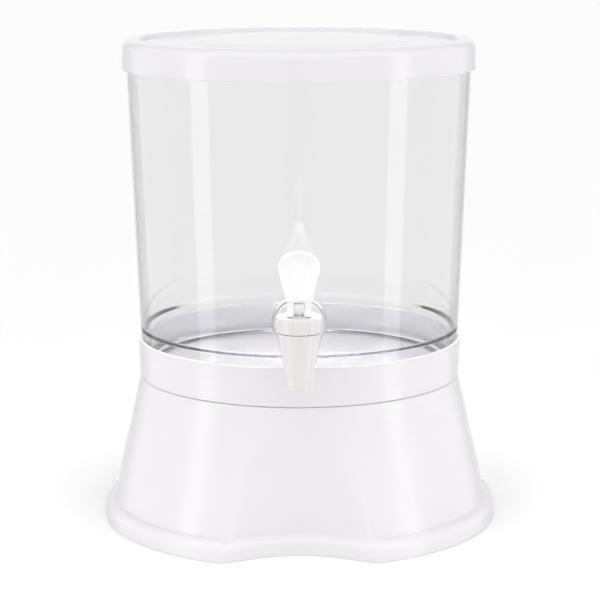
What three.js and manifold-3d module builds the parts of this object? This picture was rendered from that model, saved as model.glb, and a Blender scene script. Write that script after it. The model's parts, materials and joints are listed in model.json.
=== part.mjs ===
// Countertop drink dispenser: a clear tapered tank with a lid and a lever tap, standing in a white
// two-piece stand whose front is scooped out for a cup.
// Millimetres, +Z up, the tap faces -Y. The origin is the middle of the floor rectangle.
import * as THREE from 'three';
import { mergeVertices } from 'three/addons/utils/BufferGeometryUtils.js';
import Module from 'manifold-3d';

const wasm = await Module();
wasm.setup();

// Clearances that every piece shares
const fitGap = 0.3;
const cutOverrun = 2;

// How finely round things are divided
const largeSides = 56;
const smallSides = 24;
const pinSides = 16;

// Stand: skirt with its foot flange
const standSeamHeight = 99.6;
const skirtFlare = 22.45;
const skirtWall = 2.4;
const shelfThickness = 2.4;
const shelfWidth = 16.05;
const gussetCount = 12;
const gussetDepth = 26;
const gussetWidth = 2;
const footProud = 3.7;
const footHeight = 13.8;
const footEdgeRadius = 6.5;
const footEdgeSteps = 5;
const footWall = 2.6;
const footScoopRadius = 72;
const footScoopStandoff = 45.8;
const footCornerRadius = 10;
const footBackShare = 0.85;
const footCornerShare = 0.07;
const footHollowShare = 0.2;

// Stand: the scoop for a cup, a leaning cone
const scoopStandoff = 43.5;
const scoopFloorRadius = 81.3;
const scoopLean = 34.5;
const scoopGrowth = 0.583;
const scoopReach = 150;
const scoopFootShare = 0.7;

// Stand: collar that holds the tank
const collarProud = 0.35;
const collarFlare = 0.8;
const collarRimWall = 1.511;
const collarRimHeight = 126.3;
const collarEdgeRadius = 0.7;
const deckThickness = 2.4;
const spigotWall = 2;
const spigotDepth = 7.4;
const snapBeadHeight = 1.4;
const snapBeadReach = 0.7;

// Tank
const tankRimHeight = 326.9;
const tankRimRadius = 117.15;
const tankTaper = 2.13;
const tankWall = 2.4;
const tankFloorThickness = 2.6;
const tankFloorRise = 2.8;
const tankFootRingWidth = 3.4;
const tankFootEdge = 2.6;
const tankStepDrop = 8.5;
const tankStepWidth = 2.2;
const tankStepSlope = 1.2;
const tankHeelRadius = 9;
const tankHeelSteps = 4;

// Lid
const lidSkirtClearance = 0.55;
const lidSkirtDepth = 20.1;
const lidWall = 2.3;
const lidDraft = 0.5;
const lidEdgeRadius = 6;
const lidEdgeSteps = 4;
const lidRimThickness = 2.8;
const lidRidgeWidth = 6;
const lidGrooveWidth = 3;
const lidGrooveDepth = 1.1;
const lidPanelDrop = 2.2;
const lidPanelThickness = 2.4;
const lidPlateauRadius = 70;
const lidPlateauSlope = 9;
const lidPlateauRise = 1.5;
const lidCrown = 0.5;
const lidGateRadius = 2.2;
const lidGateHeight = 0.4;
const lidPlugClearance = 1.35;
const lidPlugWall = 2;
const lidPlugDepth = 7;

// Tap: where it sits on the tank
const tapHeight = 155.5;
const bossRadius = 17.6;
const bossProud = 0.8;
const bossThickness = 5.2;
const tapHoleRadius = 8.2;

// Tap: washers and nut
const outerWasherRadius = 17.1;
const outerWasherThickness = 1.8;
const innerWasherRadius = 13;
const innerWasherThickness = 2;
const nutAcrossFlats = 25;
const nutThickness = 7;
const nutCollarRadius = 14.6;
const nutCollarThickness = 1.6;
const nutSides = 6;

// Tap: body
const flangeRadius = 16;
const flangeThickness = 3;
const flangeEdge = 1;
const shankRadius = 7.9;
const shankBoreRadius = 5.2;
const shankSpare = 3;
const barrelReach = 26.4;
const barrelTopRadius = 14.1;
const barrelShoulderDrop = 0.5;
const barrelNeckRadius = 11.7;
const barrelNeckRise = 6.4;
const chamberRadius = 9.6;
const neckRadius = 8.5;
const neckDrop = 9.1;
const neckBoreDrop = 6.6;
const seatDrop = 15;
const outletRadius = 5.2;
const outletTipRadius = 5.4;
const spoutTipRadius = 7.25;
const spoutDrop = 37;
const spoutTipEdge = 1.2;

// Tap: bonnet and its seal
const bonnetRadius = 14.7;
const bonnetHeight = 10.1;
const bonnetLipRise = 0.7;
const bonnetEdgeRadius = 2;
const bonnetEdgeSteps = 4;
const bonnetHoleRadius = 2.9;
const bonnetBoreRadius = 12;
const gripCount = 9;
const gripRadius = 0.9;
const gripDepth = 0.5;
const gripTopMargin = 2.4;
const gripPhase = 25.85;
const gripFacets = 4;
const sealRadius = 11.4;
const sealThickness = 1;

// Tap: stem, seat cup and spring
const stemRadius = 2.3;
const stemLift = 5;
const tongueWidth = 6.3;
const tongueRadius = 2.4;
const tongueFoot = 0.9;
const springSeatRadius = 6.2;
const springSeatThickness = 1;
const barbRadius = 3.4;
const barbHeight = 2.4;
const barbNeckHeight = 1.6;
const cupRadius = 8.2;
const cupFloor = 2.2;
const cupEdge = 1.2;
const springRadius = 4.6;
const springWireRadius = 0.45;
const springTurns = 6;
const springStepsPerTurn = 10;
const springWireSides = 5;

// Tap: lever and pin
const leverTilt = 45;
const camBaseRadius = 5.2;
const camSteps = 6;
const heelSteps = 4;
const forkWidth = 15.3;
const pinRadius = 1.25;
const webRise = 2.8;
const paddleFootRise = 3.6;
const paddleFootWidth = 15.9;
const paddleWidth = 26.1;
const paddleShoulderRise = 24.8;
const paddleTopRise = 35.1;
const paddleFront = 2.6;
const paddleBack = 2;
const paddleEdge = 0.9;
const paddleRootFront = 4.6;
const dishRimWidth = 1.3;
const dishSlopeWidth = 3.4;
const dishDepth = 1.5;
const dishFootRise = 6.4;
const paddleSteps = 12;
const paddleSpreadShare = 0.5;
const paddleFillShare = 0.9;

// Angles and the places that follow from the sizes
const degree = Math.PI / 180;
const tankSlope = Math.tan(tankTaper * degree);
const tankRadiusAt = (height) => tankRimRadius - (tankRimHeight - height) * tankSlope;
const tankInnerAt = (height) => tankRadiusAt(height) - tankWall;
const collarRimRadius = tankRadiusAt(collarRimHeight) + fitGap + collarRimWall;
const collarSeamRadius = collarRimRadius - collarFlare;
const skirtTopRadius = collarSeamRadius - collarProud;
const shelfHoleRadius = skirtTopRadius - shelfWidth;
const skirtFloorRadius = skirtTopRadius + skirtFlare;
const skirtRadiusAt = (height) =>
  skirtFloorRadius + (skirtTopRadius - skirtFloorRadius) * height / standSeamHeight;
const footRadius = skirtFloorRadius + footProud;
const footScoopCentre = footRadius + footScoopStandoff;
const scoopCentre = skirtFloorRadius + scoopStandoff;
const collarFoot = standSeamHeight + fitGap;
const deckTop = collarFoot + deckThickness;
const tankFoot = deckTop + fitGap;
const tankStepHeight = tapHeight - innerWasherRadius - tankStepDrop;
const lidRadius = tankRimRadius + lidSkirtClearance + lidWall;
const lidTop = tankRimHeight + fitGap + lidRimThickness;
const lidPlugRadius = tankRimRadius - tankWall - lidPlugClearance;
const bossFace = tankRadiusAt(tapHeight) + bossProud;
const outerWasherFace = fitGap + outerWasherThickness;
const flangeBack = outerWasherFace + fitGap;
const flangeFace = flangeBack + flangeThickness;
const innerWasherStart = bossThickness + fitGap;
const nutStart = innerWasherStart + innerWasherThickness + fitGap;
const shankEnd = nutStart + nutThickness + nutCollarThickness + shankSpare;
const bonnetTop = bonnetLipRise + bonnetHeight;
const barrelShoulder = bonnetLipRise - barrelShoulderDrop;
const barrelTop = barrelShoulder + barrelNeckRise;
const sealFoot = barrelTop + fitGap;
const bonnetCeiling = sealFoot + sealThickness + fitGap;
const seatHeight = -seatDrop;
const cupFoot = seatHeight + fitGap;
const barbFoot = cupFoot + cupFloor;
const barbTop = barbFoot + barbHeight;
const cupTop = barbTop + barbNeckHeight;
const springSeatFoot = cupTop + fitGap;
const springSeatTop = springSeatFoot + springSeatThickness;
const springFoot = springSeatTop + fitGap;
const springTop = sealFoot - fitGap;
const pivotHeight = bonnetTop + fitGap + camBaseRadius;
const camGrowth = stemLift / (leverTilt * degree);
const camReachAngle = leverTilt * degree;
const camToe = (camBaseRadius + stemLift) * Math.sin(camReachAngle)
  + camGrowth * Math.cos(camReachAngle);
const frontReach = bossFace + barrelReach + bonnetRadius;
const centreShift = (frontReach - footRadius) / 2;

// Closed geometry and boolean helpers

function pointsOutwards(geometry) {
  const place = geometry.attributes.position;
  const index = geometry.index.array;
  const corners = [new THREE.Vector3(), new THREE.Vector3(), new THREE.Vector3()];
  let volume = 0;
  for (let i = 0; i < index.length; i += 3) {
    corners.forEach((corner, k) => corner.fromBufferAttribute(place, index[i + k]));
    volume += corners[0].dot(corners[1].cross(corners[2]));
  }
  return volume > 0;
}

function closed(geometry) {
  const bare = new THREE.BufferGeometry();
  bare.setAttribute('position', geometry.attributes.position);
  if (geometry.index) bare.setIndex(geometry.index);
  const merged = mergeVertices(bare);
  const faces = [];
  const index = merged.index.array;
  for (let i = 0; i < index.length; i += 3) {
    const [a, b, c] = index.slice(i, i + 3);
    if (a !== b && b !== c && c !== a) faces.push(a, b, c);
  }
  merged.setIndex(faces);
  if (!pointsOutwards(merged)) {
    for (let i = 0; i < faces.length; i += 3) {
      [faces[i], faces[i + 1]] = [faces[i + 1], faces[i]];
    }
    merged.setIndex(faces);
  }
  return merged;
}

function solid(geometry) {
  const shell = closed(geometry);
  return new wasm.Manifold(new wasm.Mesh({
    numProp: 3,
    vertProperties: new Float32Array(shell.attributes.position.array),
    triVerts: new Uint32Array(shell.index.array),
  }));
}

function geometryOf(body) {
  const mesh = body.getMesh();
  const geometry = new THREE.BufferGeometry();
  geometry.setAttribute('position', new THREE.BufferAttribute(mesh.vertProperties, mesh.numProp));
  geometry.setIndex(new THREE.BufferAttribute(mesh.triVerts, 1));
  return geometry;
}

const joined = (...bodies) => bodies.reduce((sum, body) => sum.add(body));
const cutFrom = (body, ...tools) => tools.reduce((rest, tool) => rest.subtract(tool), body);

// Revolved about +Z from points of radius and height
function turned(profile, sides) {
  const points = profile.map(([radius, height]) => new THREE.Vector2(radius, height));
  return new THREE.LatheGeometry(points, sides).rotateX(Math.PI / 2);
}

// Revolved about the tap's shank, heights running into the tank
const turnedAlongShank = (profile, sides) => turned(profile, sides).rotateX(-Math.PI / 2);

// Skin over rings of equally many points, with both ends closed
function lofted(rings) {
  const count = rings[0].length;
  const places = rings.flat().flatMap((point) => point.toArray());
  const faces = [];
  for (let ring = 0; ring < rings.length - 1; ring += 1) {
    for (let i = 0; i < count; i += 1) {
      const here = ring * count + i;
      const next = ring * count + (i + 1) % count;
      faces.push(here, next, here + count, next, next + count, here + count);
    }
  }
  [0, rings.length - 1].forEach((ring, end) => {
    const middle = places.length / 3;
    const centre = rings[ring].reduce((sum, point) => sum.add(point), new THREE.Vector3());
    places.push(...centre.divideScalar(count).toArray());
    for (let i = 0; i < count; i += 1) {
      const pair = [ring * count + i, ring * count + (i + 1) % count];
      if (end === 0) pair.reverse();
      faces.push(pair[0], pair[1], middle);
    }
  });
  const geometry = new THREE.BufferGeometry();
  geometry.setAttribute('position', new THREE.Float32BufferAttribute(places, 3));
  geometry.setIndex(faces);
  return geometry;
}

// Points of an arc in a plane, both ends included
function arc(centreX, centreY, radius, from, to, steps) {
  return Array.from({ length: steps + 1 }, (_, i) => {
    const angle = from + (to - from) * i / steps;
    return [centreX + radius * Math.cos(angle), centreY + radius * Math.sin(angle)];
  });
}

function block(width, depth, height, x, y, z) {
  return new THREE.BoxGeometry(width, depth, height).translate(x, y, z);
}

// Stand

// Plan of the foot at some depth under its outer face: the round foot, the hollow of the scoop
// and a rounded corner on each side between them
function footOutline(inset) {
  const outer = footRadius - footCornerRadius;
  const hollow = footScoopRadius + footCornerRadius;
  const cornerY = -(footScoopCentre ** 2 + outer ** 2 - hollow ** 2) / (2 * footScoopCentre);
  const cornerX = Math.sqrt(outer ** 2 - cornerY ** 2);
  const roundAngle = Math.atan2(cornerY, cornerX);
  const hollowAngle = Math.atan2(cornerY + footScoopCentre, cornerX);
  const corner = footCornerRadius - inset;
  const roundSteps = Math.round(largeSides * footBackShare);
  const cornerSteps = Math.round(largeSides * footCornerShare);
  const hollowSteps = Math.round(largeSides * footHollowShare);
  const back = arc(0, 0, footRadius - inset, roundAngle, Math.PI - roundAngle, roundSteps);
  const left = arc(-cornerX, cornerY, corner,
    Math.PI - roundAngle, 2 * Math.PI - hollowAngle, cornerSteps).slice(1);
  const front = arc(0, -footScoopCentre, footScoopRadius + inset,
    Math.PI - hollowAngle, hollowAngle, hollowSteps).slice(1);
  const right = arc(cornerX, cornerY, corner,
    hollowAngle - Math.PI, roundAngle, cornerSteps).slice(1, -1);
  return [...back, ...left, ...front, ...right];
}

const footRing = (inset, height) =>
  footOutline(inset).map(([x, y]) => new THREE.Vector3(x, y, height));

// The leaning cone that hollows the skirt, its radius grown by the wall for the inner face
function scoopCone(grown) {
  const low = -scoopReach * scoopFootShare;
  const profile = [
    [0, low],
    [scoopFloorRadius + grown + scoopGrowth * low, low],
    [scoopFloorRadius + grown + scoopGrowth * scoopReach, scoopReach],
    [0, scoopReach],
  ];
  return solid(turned(profile, largeSides).rotateX(scoopLean * degree)
    .translate(0, -scoopCentre, 0));
}

function skirtSolid() {
  const innerTop = standSeamHeight - shelfThickness;
  const outerCone = solid(turned([
    [0, 0], [skirtFloorRadius, 0], [skirtTopRadius, standSeamHeight], [0, standSeamHeight],
  ], largeSides));
  const innerCone = solid(turned([
    [0, -cutOverrun],
    [skirtRadiusAt(-cutOverrun) - skirtWall, -cutOverrun],
    [skirtRadiusAt(innerTop) - skirtWall, innerTop],
    [0, innerTop],
  ], largeSides));
  const edge = arc(footEdgeRadius, footHeight - footEdgeRadius, footEdgeRadius,
    Math.PI, Math.PI / 2, footEdgeSteps);
  const foot = solid(lofted([footRing(0, 0), ...edge.map(([inset, z]) => footRing(inset, z))]));
  const footHollow = solid(lofted([
    footRing(footWall, -cutOverrun),
    footRing(footWall, footHeight - footEdgeRadius),
    footRing(footEdgeRadius + footWall / 2, footHeight - footWall),
  ]));
  const shelfHole = solid(turned([
    [0, innerTop - cutOverrun], [shelfHoleRadius, innerTop - cutOverrun],
    [shelfHoleRadius, standSeamHeight + cutOverrun], [0, standSeamHeight + cutOverrun],
  ], largeSides));
  const scoopInside = scoopCone(skirtWall / Math.cos(scoopLean * degree));
  const outside = joined(cutFrom(outerCone, scoopCone(0)), foot);
  const inside = joined(cutFrom(innerCone, scoopInside), footHollow);
  return joined(cutFrom(outside, inside, shelfHole), cutFrom(shelfGussets(), scoopInside));
}

// Triangular webs that brace the shelf against the skirt from below
function shelfGussets() {
  const top = standSeamHeight - shelfThickness / 2;
  const outer = skirtTopRadius - skirtWall / 2;
  const low = top - gussetDepth;
  const inner = shelfHoleRadius + spigotWall;
  const web = new THREE.Shape([
    new THREE.Vector2(inner, top),
    new THREE.Vector2(inner, top - shelfThickness),
    new THREE.Vector2(skirtRadiusAt(low) - skirtWall / 2, low),
    new THREE.Vector2(outer, top),
  ]);
  const gussets = Array.from({ length: gussetCount }, (_, i) => {
    const shape = new THREE.ExtrudeGeometry(web, { depth: gussetWidth, bevelEnabled: false });
    return solid(shape.translate(0, 0, -gussetWidth / 2).rotateX(Math.PI / 2)
      .rotateZ((i + 0.5) * 2 * Math.PI / gussetCount));
  });
  return joined(...gussets);
}

function collarSolid() {
  const tankGap = (height) => tankRadiusAt(height) + fitGap;
  const spigotFoot = collarFoot - spigotDepth;
  const spigotRadius = shelfHoleRadius - fitGap;
  const beadTop = standSeamHeight - shelfThickness - fitGap;
  return solid(turned([
    [0, collarFoot],
    [spigotRadius - spigotWall, collarFoot],
    [spigotRadius - spigotWall, spigotFoot],
    [spigotRadius - snapBeadReach, spigotFoot],
    [spigotRadius, spigotFoot + snapBeadReach],
    [spigotRadius, beadTop - snapBeadHeight],
    [spigotRadius + snapBeadReach, beadTop - snapBeadHeight / 2],
    [spigotRadius + snapBeadReach, beadTop],
    [spigotRadius, beadTop],
    [spigotRadius, collarFoot],
    [collarSeamRadius - collarEdgeRadius, collarFoot],
    [collarSeamRadius, collarFoot + collarEdgeRadius],
    [collarRimRadius, collarRimHeight - collarEdgeRadius],
    [collarRimRadius - collarEdgeRadius / 3, collarRimHeight - collarEdgeRadius / 4],
    [collarRimRadius - collarEdgeRadius, collarRimHeight],
    [tankGap(collarRimHeight) + collarEdgeRadius / 3, collarRimHeight],
    [tankGap(collarRimHeight), collarRimHeight - collarEdgeRadius],
    [tankGap(deckTop), deckTop],
    [0, deckTop],
  ], largeSides));
}

// Tank

function tankSolid() {
  const floorTop = tankFoot + tankFloorRise + tankFloorThickness;
  const stepFoot = tankStepHeight - tankStepSlope;
  const thickInner = (height) => tankInnerAt(height) - tankStepWidth;
  const heelCentre = thickInner(floorTop + tankHeelRadius) - tankHeelRadius;
  const heel = arc(heelCentre, floorTop + tankHeelRadius, tankHeelRadius,
    0, -Math.PI / 2, tankHeelSteps);
  const ringOuter = tankRadiusAt(tankFoot) - tankFootEdge;
  const lipRadius = tankWall / 2;
  const lip = arc(tankRimRadius - lipRadius, tankRimHeight - lipRadius, lipRadius,
    0, Math.PI, tankHeelSteps);
  const wall = solid(turned([
    [0, floorTop - tankFloorThickness],
    [ringOuter - tankFootRingWidth, floorTop - tankFloorThickness],
    [ringOuter - tankFootRingWidth, tankFoot],
    [ringOuter, tankFoot],
    [tankRadiusAt(tankFoot + tankFootEdge), tankFoot + tankFootEdge],
    ...lip,
    [tankInnerAt(tankStepHeight), tankStepHeight],
    [thickInner(stepFoot), stepFoot],
    ...heel,
    [0, floorTop],
  ], largeSides));
  const boss = solid(turnedAlongShank([
    [0, 0], [bossRadius, 0], [bossRadius, bossThickness], [0, bossThickness],
  ], smallSides).translate(0, -bossFace, tapHeight));
  const hole = solid(turnedAlongShank([
    [0, -cutOverrun], [tapHoleRadius, -cutOverrun],
    [tapHoleRadius, bossThickness + cutOverrun], [0, bossThickness + cutOverrun],
  ], smallSides).translate(0, -bossFace, tapHeight));
  return cutFrom(joined(wall, boss), hole);
}

// Lid

function lidSolid() {
  const foot = lidTop - lidSkirtDepth;
  const shoulder = lidRadius - lidDraft;
  const corner = arc(shoulder - lidEdgeRadius, lidTop - lidEdgeRadius, lidEdgeRadius,
    0, Math.PI / 2, lidEdgeSteps);
  const ridgeInner = shoulder - lidEdgeRadius - lidRidgeWidth;
  const panelTop = lidTop - lidPanelDrop;
  const panelEdge = ridgeInner - lidGrooveWidth;
  const panelFoot = panelTop - lidPanelThickness;
  const plateauTop = panelTop + lidPlateauRise;
  const crownTop = plateauTop + lidCrown;
  const rimFoot = lidTop - lidRimThickness;
  return solid(turned([
    [0, crownTop + lidGateHeight],
    [lidGateRadius, crownTop + lidGateHeight],
    [lidGateRadius, crownTop],
    [lidPlateauRadius / 2, crownTop - lidCrown / 4],
    [lidPlateauRadius, plateauTop],
    [lidPlateauRadius + lidPlateauSlope / 2, panelTop + lidPlateauRise / 4],
    [lidPlateauRadius + lidPlateauSlope, panelTop],
    [panelEdge, panelTop],
    [panelEdge + lidGrooveWidth / 3, panelTop - lidGrooveDepth],
    [panelEdge + lidGrooveWidth * 2 / 3, panelTop - lidGrooveDepth],
    [ridgeInner, lidTop - lidGrooveDepth / 2],
    [ridgeInner + lidGrooveDepth, lidTop],
    ...corner.reverse(),
    [lidRadius, foot],
    [lidRadius - lidWall, foot],
    [shoulder - lidWall, rimFoot],
    [lidPlugRadius, rimFoot],
    [lidPlugRadius, panelFoot - lidPlugDepth],
    [lidPlugRadius - lidPlugWall, panelFoot - lidPlugDepth],
    [lidPlugRadius - lidPlugWall, panelFoot - lidGrooveDepth],
    [lidPlateauRadius + lidPlateauSlope, panelFoot - lidGrooveDepth],
    [lidPlateauRadius, plateauTop - lidPanelThickness],
    [0, crownTop - lidPanelThickness],
  ], largeSides));
}

// Tap pieces round the shank, in the tap's own frame: x across, y into the tank, z up from the
// shank's axis, with y zero on the boss face

function shankRing(inner, outer, start, thickness, edge) {
  const end = start + thickness;
  return solid(turnedAlongShank([
    [inner, start], [outer - edge, start], [outer, start + edge],
    [outer, end - edge], [outer - edge, end], [inner, end], [inner, start],
  ], smallSides));
}

function outerWasherSolid() {
  return shankRing(shankRadius + fitGap, outerWasherRadius, -outerWasherFace,
    outerWasherThickness, outerWasherThickness / 4);
}

function innerWasherSolid() {
  return shankRing(shankRadius + fitGap, innerWasherRadius, innerWasherStart,
    innerWasherThickness, innerWasherThickness / 4);
}

function nutSolid() {
  const hexRadius = nutAcrossFlats / 2 / Math.cos(Math.PI / nutSides);
  const hexStart = nutStart + nutCollarThickness;
  const hexEnd = hexStart + nutThickness;
  const hex = solid(turnedAlongShank([
    [0, hexStart - nutCollarThickness / 2], [hexRadius, hexStart - nutCollarThickness / 2],
    [hexRadius, hexEnd], [0, hexEnd],
  ], nutSides));
  const collar = solid(turnedAlongShank([
    [0, nutStart], [nutCollarRadius, nutStart], [nutCollarRadius, hexStart], [0, hexStart],
  ], smallSides));
  const bore = solid(turnedAlongShank([
    [0, nutStart - cutOverrun], [shankRadius + fitGap, nutStart - cutOverrun],
    [shankRadius + fitGap, hexEnd + cutOverrun], [0, hexEnd + cutOverrun],
  ], smallSides));
  return cutFrom(joined(hex, collar), bore);
}

function tapBodySolid() {
  const onBarrel = (geometry) => solid(geometry.translate(0, -barrelReach, 0));
  const flange = solid(turnedAlongShank([
    [0, -flangeFace], [flangeRadius - flangeEdge, -flangeFace],
    [flangeRadius, -flangeFace + flangeEdge], [flangeRadius, -flangeBack], [0, -flangeBack],
  ], smallSides));
  const shank = solid(turnedAlongShank([
    [0, -flangeBack - flangeThickness / 2], [shankRadius, -flangeBack - flangeThickness / 2],
    [shankRadius, shankEnd], [0, shankEnd],
  ], smallSides));
  const neck = solid(turnedAlongShank([
    [0, -barrelReach], [neckRadius, -barrelReach], [neckRadius, -flangeBack - flangeEdge],
    [0, -flangeBack - flangeEdge],
  ], smallSides).translate(0, 0, -neckDrop));
  const tip = -spoutDrop;
  const barrel = onBarrel(turned([
    [0, tip], [spoutTipRadius - spoutTipEdge, tip],
    [spoutTipRadius - spoutTipEdge / 3, tip + spoutTipEdge / 3],
    [spoutTipRadius, tip + spoutTipEdge],
    [barrelTopRadius, barrelShoulder], [barrelNeckRadius, barrelShoulder],
    [barrelNeckRadius, barrelTop], [0, barrelTop],
  ], smallSides));
  const chamber = onBarrel(turned([
    [0, seatHeight], [chamberRadius, seatHeight],
    [chamberRadius, barrelTop + cutOverrun], [0, barrelTop + cutOverrun],
  ], smallSides));
  const outlet = onBarrel(turned([
    [0, tip - cutOverrun], [outletTipRadius, tip - cutOverrun],
    [outletRadius, seatHeight + cutOverrun], [0, seatHeight + cutOverrun],
  ], smallSides));
  const shankBore = solid(turnedAlongShank([
    [0, -flangeFace + flangeEdge], [shankBoreRadius, -flangeFace + flangeEdge],
    [shankBoreRadius, shankEnd + cutOverrun], [0, shankEnd + cutOverrun],
  ], smallSides));
  const neckBore = solid(turnedAlongShank([
    [0, -barrelReach], [shankBoreRadius, -barrelReach],
    [shankBoreRadius, -flangeBack], [0, -flangeBack],
  ], smallSides).translate(0, 0, -neckBoreDrop));
  return cutFrom(joined(flange, shank, neck, barrel), chamber, outlet, shankBore, neckBore);
}

// Tap pieces round the stem, in the stem's own frame: z up from the shank's axis

function bonnetSolid() {
  const edge = arc(bonnetRadius - bonnetEdgeRadius, bonnetTop - bonnetEdgeRadius,
    bonnetEdgeRadius, 0, Math.PI / 2, bonnetEdgeSteps);
  const shell = solid(turned([
    [bonnetBoreRadius, bonnetLipRise], [bonnetRadius, bonnetLipRise],
    ...edge,
    [bonnetHoleRadius, bonnetTop], [bonnetHoleRadius, bonnetCeiling],
    [bonnetBoreRadius, bonnetCeiling], [bonnetBoreRadius, bonnetLipRise],
  ], gripCount * gripFacets));
  const grooveTop = bonnetTop - gripTopMargin;
  const grooves = Array.from({ length: gripCount }, (_, i) => {
    const groove = turned([
      [0, bonnetLipRise - cutOverrun], [gripRadius, bonnetLipRise - cutOverrun],
      [gripRadius, grooveTop - gripRadius], [0, grooveTop],
    ], pinSides / 2);
    return solid(groove.translate(0, -(bonnetRadius + gripRadius - gripDepth), 0)
      .rotateZ(gripPhase * degree + i * 2 * Math.PI / gripCount));
  });
  return cutFrom(shell, ...grooves);
}

function sealSolid() {
  const bore = stemRadius + fitGap;
  return solid(turned([
    [bore, sealFoot], [sealRadius, sealFoot], [sealRadius, sealFoot + sealThickness],
    [bore, sealFoot + sealThickness], [bore, sealFoot],
  ], smallSides));
}

function stemSolid() {
  const tongueFootHeight = bonnetTop + tongueFoot;
  const shaft = solid(turned([
    [0, barbFoot + fitGap], [barbRadius / 2, barbFoot + fitGap],
    [barbRadius, barbTop - fitGap], [stemRadius, barbTop - fitGap],
    [stemRadius, springSeatFoot], [springSeatRadius, springSeatFoot],
    [springSeatRadius, springSeatTop], [stemRadius, springSeatTop],
    [stemRadius, tongueFootHeight + tongueFoot], [0, tongueFootHeight + tongueFoot],
  ], smallSides));
  const tongueHeight = pivotHeight - tongueFootHeight;
  const tongue = solid(block(tongueWidth, tongueRadius * 2, tongueHeight,
    0, 0, tongueFootHeight + tongueHeight / 2));
  const head = solid(turned([
    [0, -tongueWidth / 2], [tongueRadius, -tongueWidth / 2],
    [tongueRadius, tongueWidth / 2], [0, tongueWidth / 2],
  ], pinSides).rotateY(Math.PI / 2).translate(0, 0, pivotHeight));
  return cutFrom(joined(shaft, tongue, head), pinHole(tongueWidth));
}

function pinHole(width) {
  const reach = width / 2 + cutOverrun;
  return solid(turned([
    [0, -reach], [pinRadius + fitGap, -reach], [pinRadius + fitGap, reach], [0, reach],
  ], pinSides).rotateY(Math.PI / 2).translate(0, 0, pivotHeight));
}

function cupSolid() {
  const throat = stemRadius + fitGap;
  const pocket = barbRadius + fitGap;
  return solid(turned([
    [0, cupFoot], [cupRadius - cupEdge, cupFoot], [cupRadius, cupFoot + cupEdge],
    [cupRadius, barbTop], [cupRadius - cupEdge, cupTop], [throat, cupTop],
    [throat, barbTop], [pocket, barbTop], [pocket, barbFoot], [0, barbFoot],
  ], smallSides));
}

// One unbroken helix; its ends run level for the first and last turn
function springSolid() {
  const steps = springTurns * springStepsPerTurn;
  const low = springFoot + springWireRadius;
  const high = springTop - springWireRadius;
  const flatTurn = springWireRadius * 2 + fitGap;
  const points = Array.from({ length: steps + 1 }, (_, i) => {
    const turn = i / springStepsPerTurn;
    const middle = springTurns - 2;
    const climb = (high - low - 2 * flatTurn) / middle;
    let height = low + flatTurn + (turn - 1) * climb;
    if (turn < 1) height = low + flatTurn * turn;
    if (turn > springTurns - 1) height = high - flatTurn * (springTurns - turn);
    const angle = turn * 2 * Math.PI;
    return new THREE.Vector3(springRadius * Math.cos(angle), springRadius * Math.sin(angle), height);
  });
  const rings = points.map((point, i) => {
    const angle = i / springStepsPerTurn * 2 * Math.PI;
    const out = new THREE.Vector3(Math.cos(angle), Math.sin(angle), 0);
    const up = new THREE.Vector3(0, 0, 1);
    return arc(0, 0, springWireRadius, 0, 2 * Math.PI, springWireSides).slice(1)
      .map(([across, rise]) => point.clone().addScaledVector(out, across).addScaledVector(up, rise));
  });
  return solid(lofted(rings));
}

function pinSolid() {
  return solid(turned([
    [0, -forkWidth / 2], [pinRadius, -forkWidth / 2],
    [pinRadius, forkWidth / 2], [0, forkWidth / 2],
  ], pinSides).rotateY(Math.PI / 2));
}

// Lever, in its own frame: x across, y towards the tank, z up from the pin

// Side view of the fork: its foot is a cam that rises in step with the tilt, so that the bonnet's
// top always touches it; the rest is a round heel and a straight back
function camOutline() {
  const reach = Array.from({ length: camSteps + 1 }, (_, i) => {
    const angle = camReachAngle * (camSteps - i) / camSteps;
    const lift = camBaseRadius + camGrowth * angle;
    const across = -lift * Math.sin(angle) - camGrowth * Math.cos(angle);
    const up = -lift * Math.cos(angle) + camGrowth * Math.sin(angle);
    return [across, up];
  });
  const heel = arc(0, 0, camBaseRadius, -Math.PI / 2, 0, heelSteps);
  const top = [
    [camBaseRadius, webRise / 2],
    [paddleBack, paddleFootRise + webRise],
    [-paddleRootFront, paddleFootRise + webRise],
  ];
  return [...top, ...reach, ...heel];
}

function paddleOutline(inset, footRise) {
  const halfFoot = paddleFootWidth / 2 - inset;
  const halfWide = paddleWidth / 2 - inset;
  const crown = paddleTopRise - paddleShoulderRise - inset;
  const rise = (share) => THREE.MathUtils.lerp(footRise, paddleShoulderRise, share);
  const spread = THREE.MathUtils.lerp(halfFoot, halfWide, paddleSpreadShare);
  const shape = new THREE.Shape();
  shape.moveTo(-halfFoot, footRise);
  shape.lineTo(halfFoot, footRise);
  shape.bezierCurveTo(spread, rise(paddleSpreadShare), halfWide, rise(paddleFillShare),
    halfWide, paddleShoulderRise);
  shape.absellipse(0, paddleShoulderRise, halfWide, crown, 0, Math.PI, false, 0);
  shape.bezierCurveTo(-halfWide, rise(paddleFillShare), -spread, rise(paddleSpreadShare),
    -halfFoot, footRise);
  return shape;
}

const paddleRing = (inset, footRise, depth) =>
  paddleOutline(inset, footRise).getPoints(paddleSteps).slice(0, -1)
    .map(({ x, y }) => new THREE.Vector3(x, -depth, y));

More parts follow.
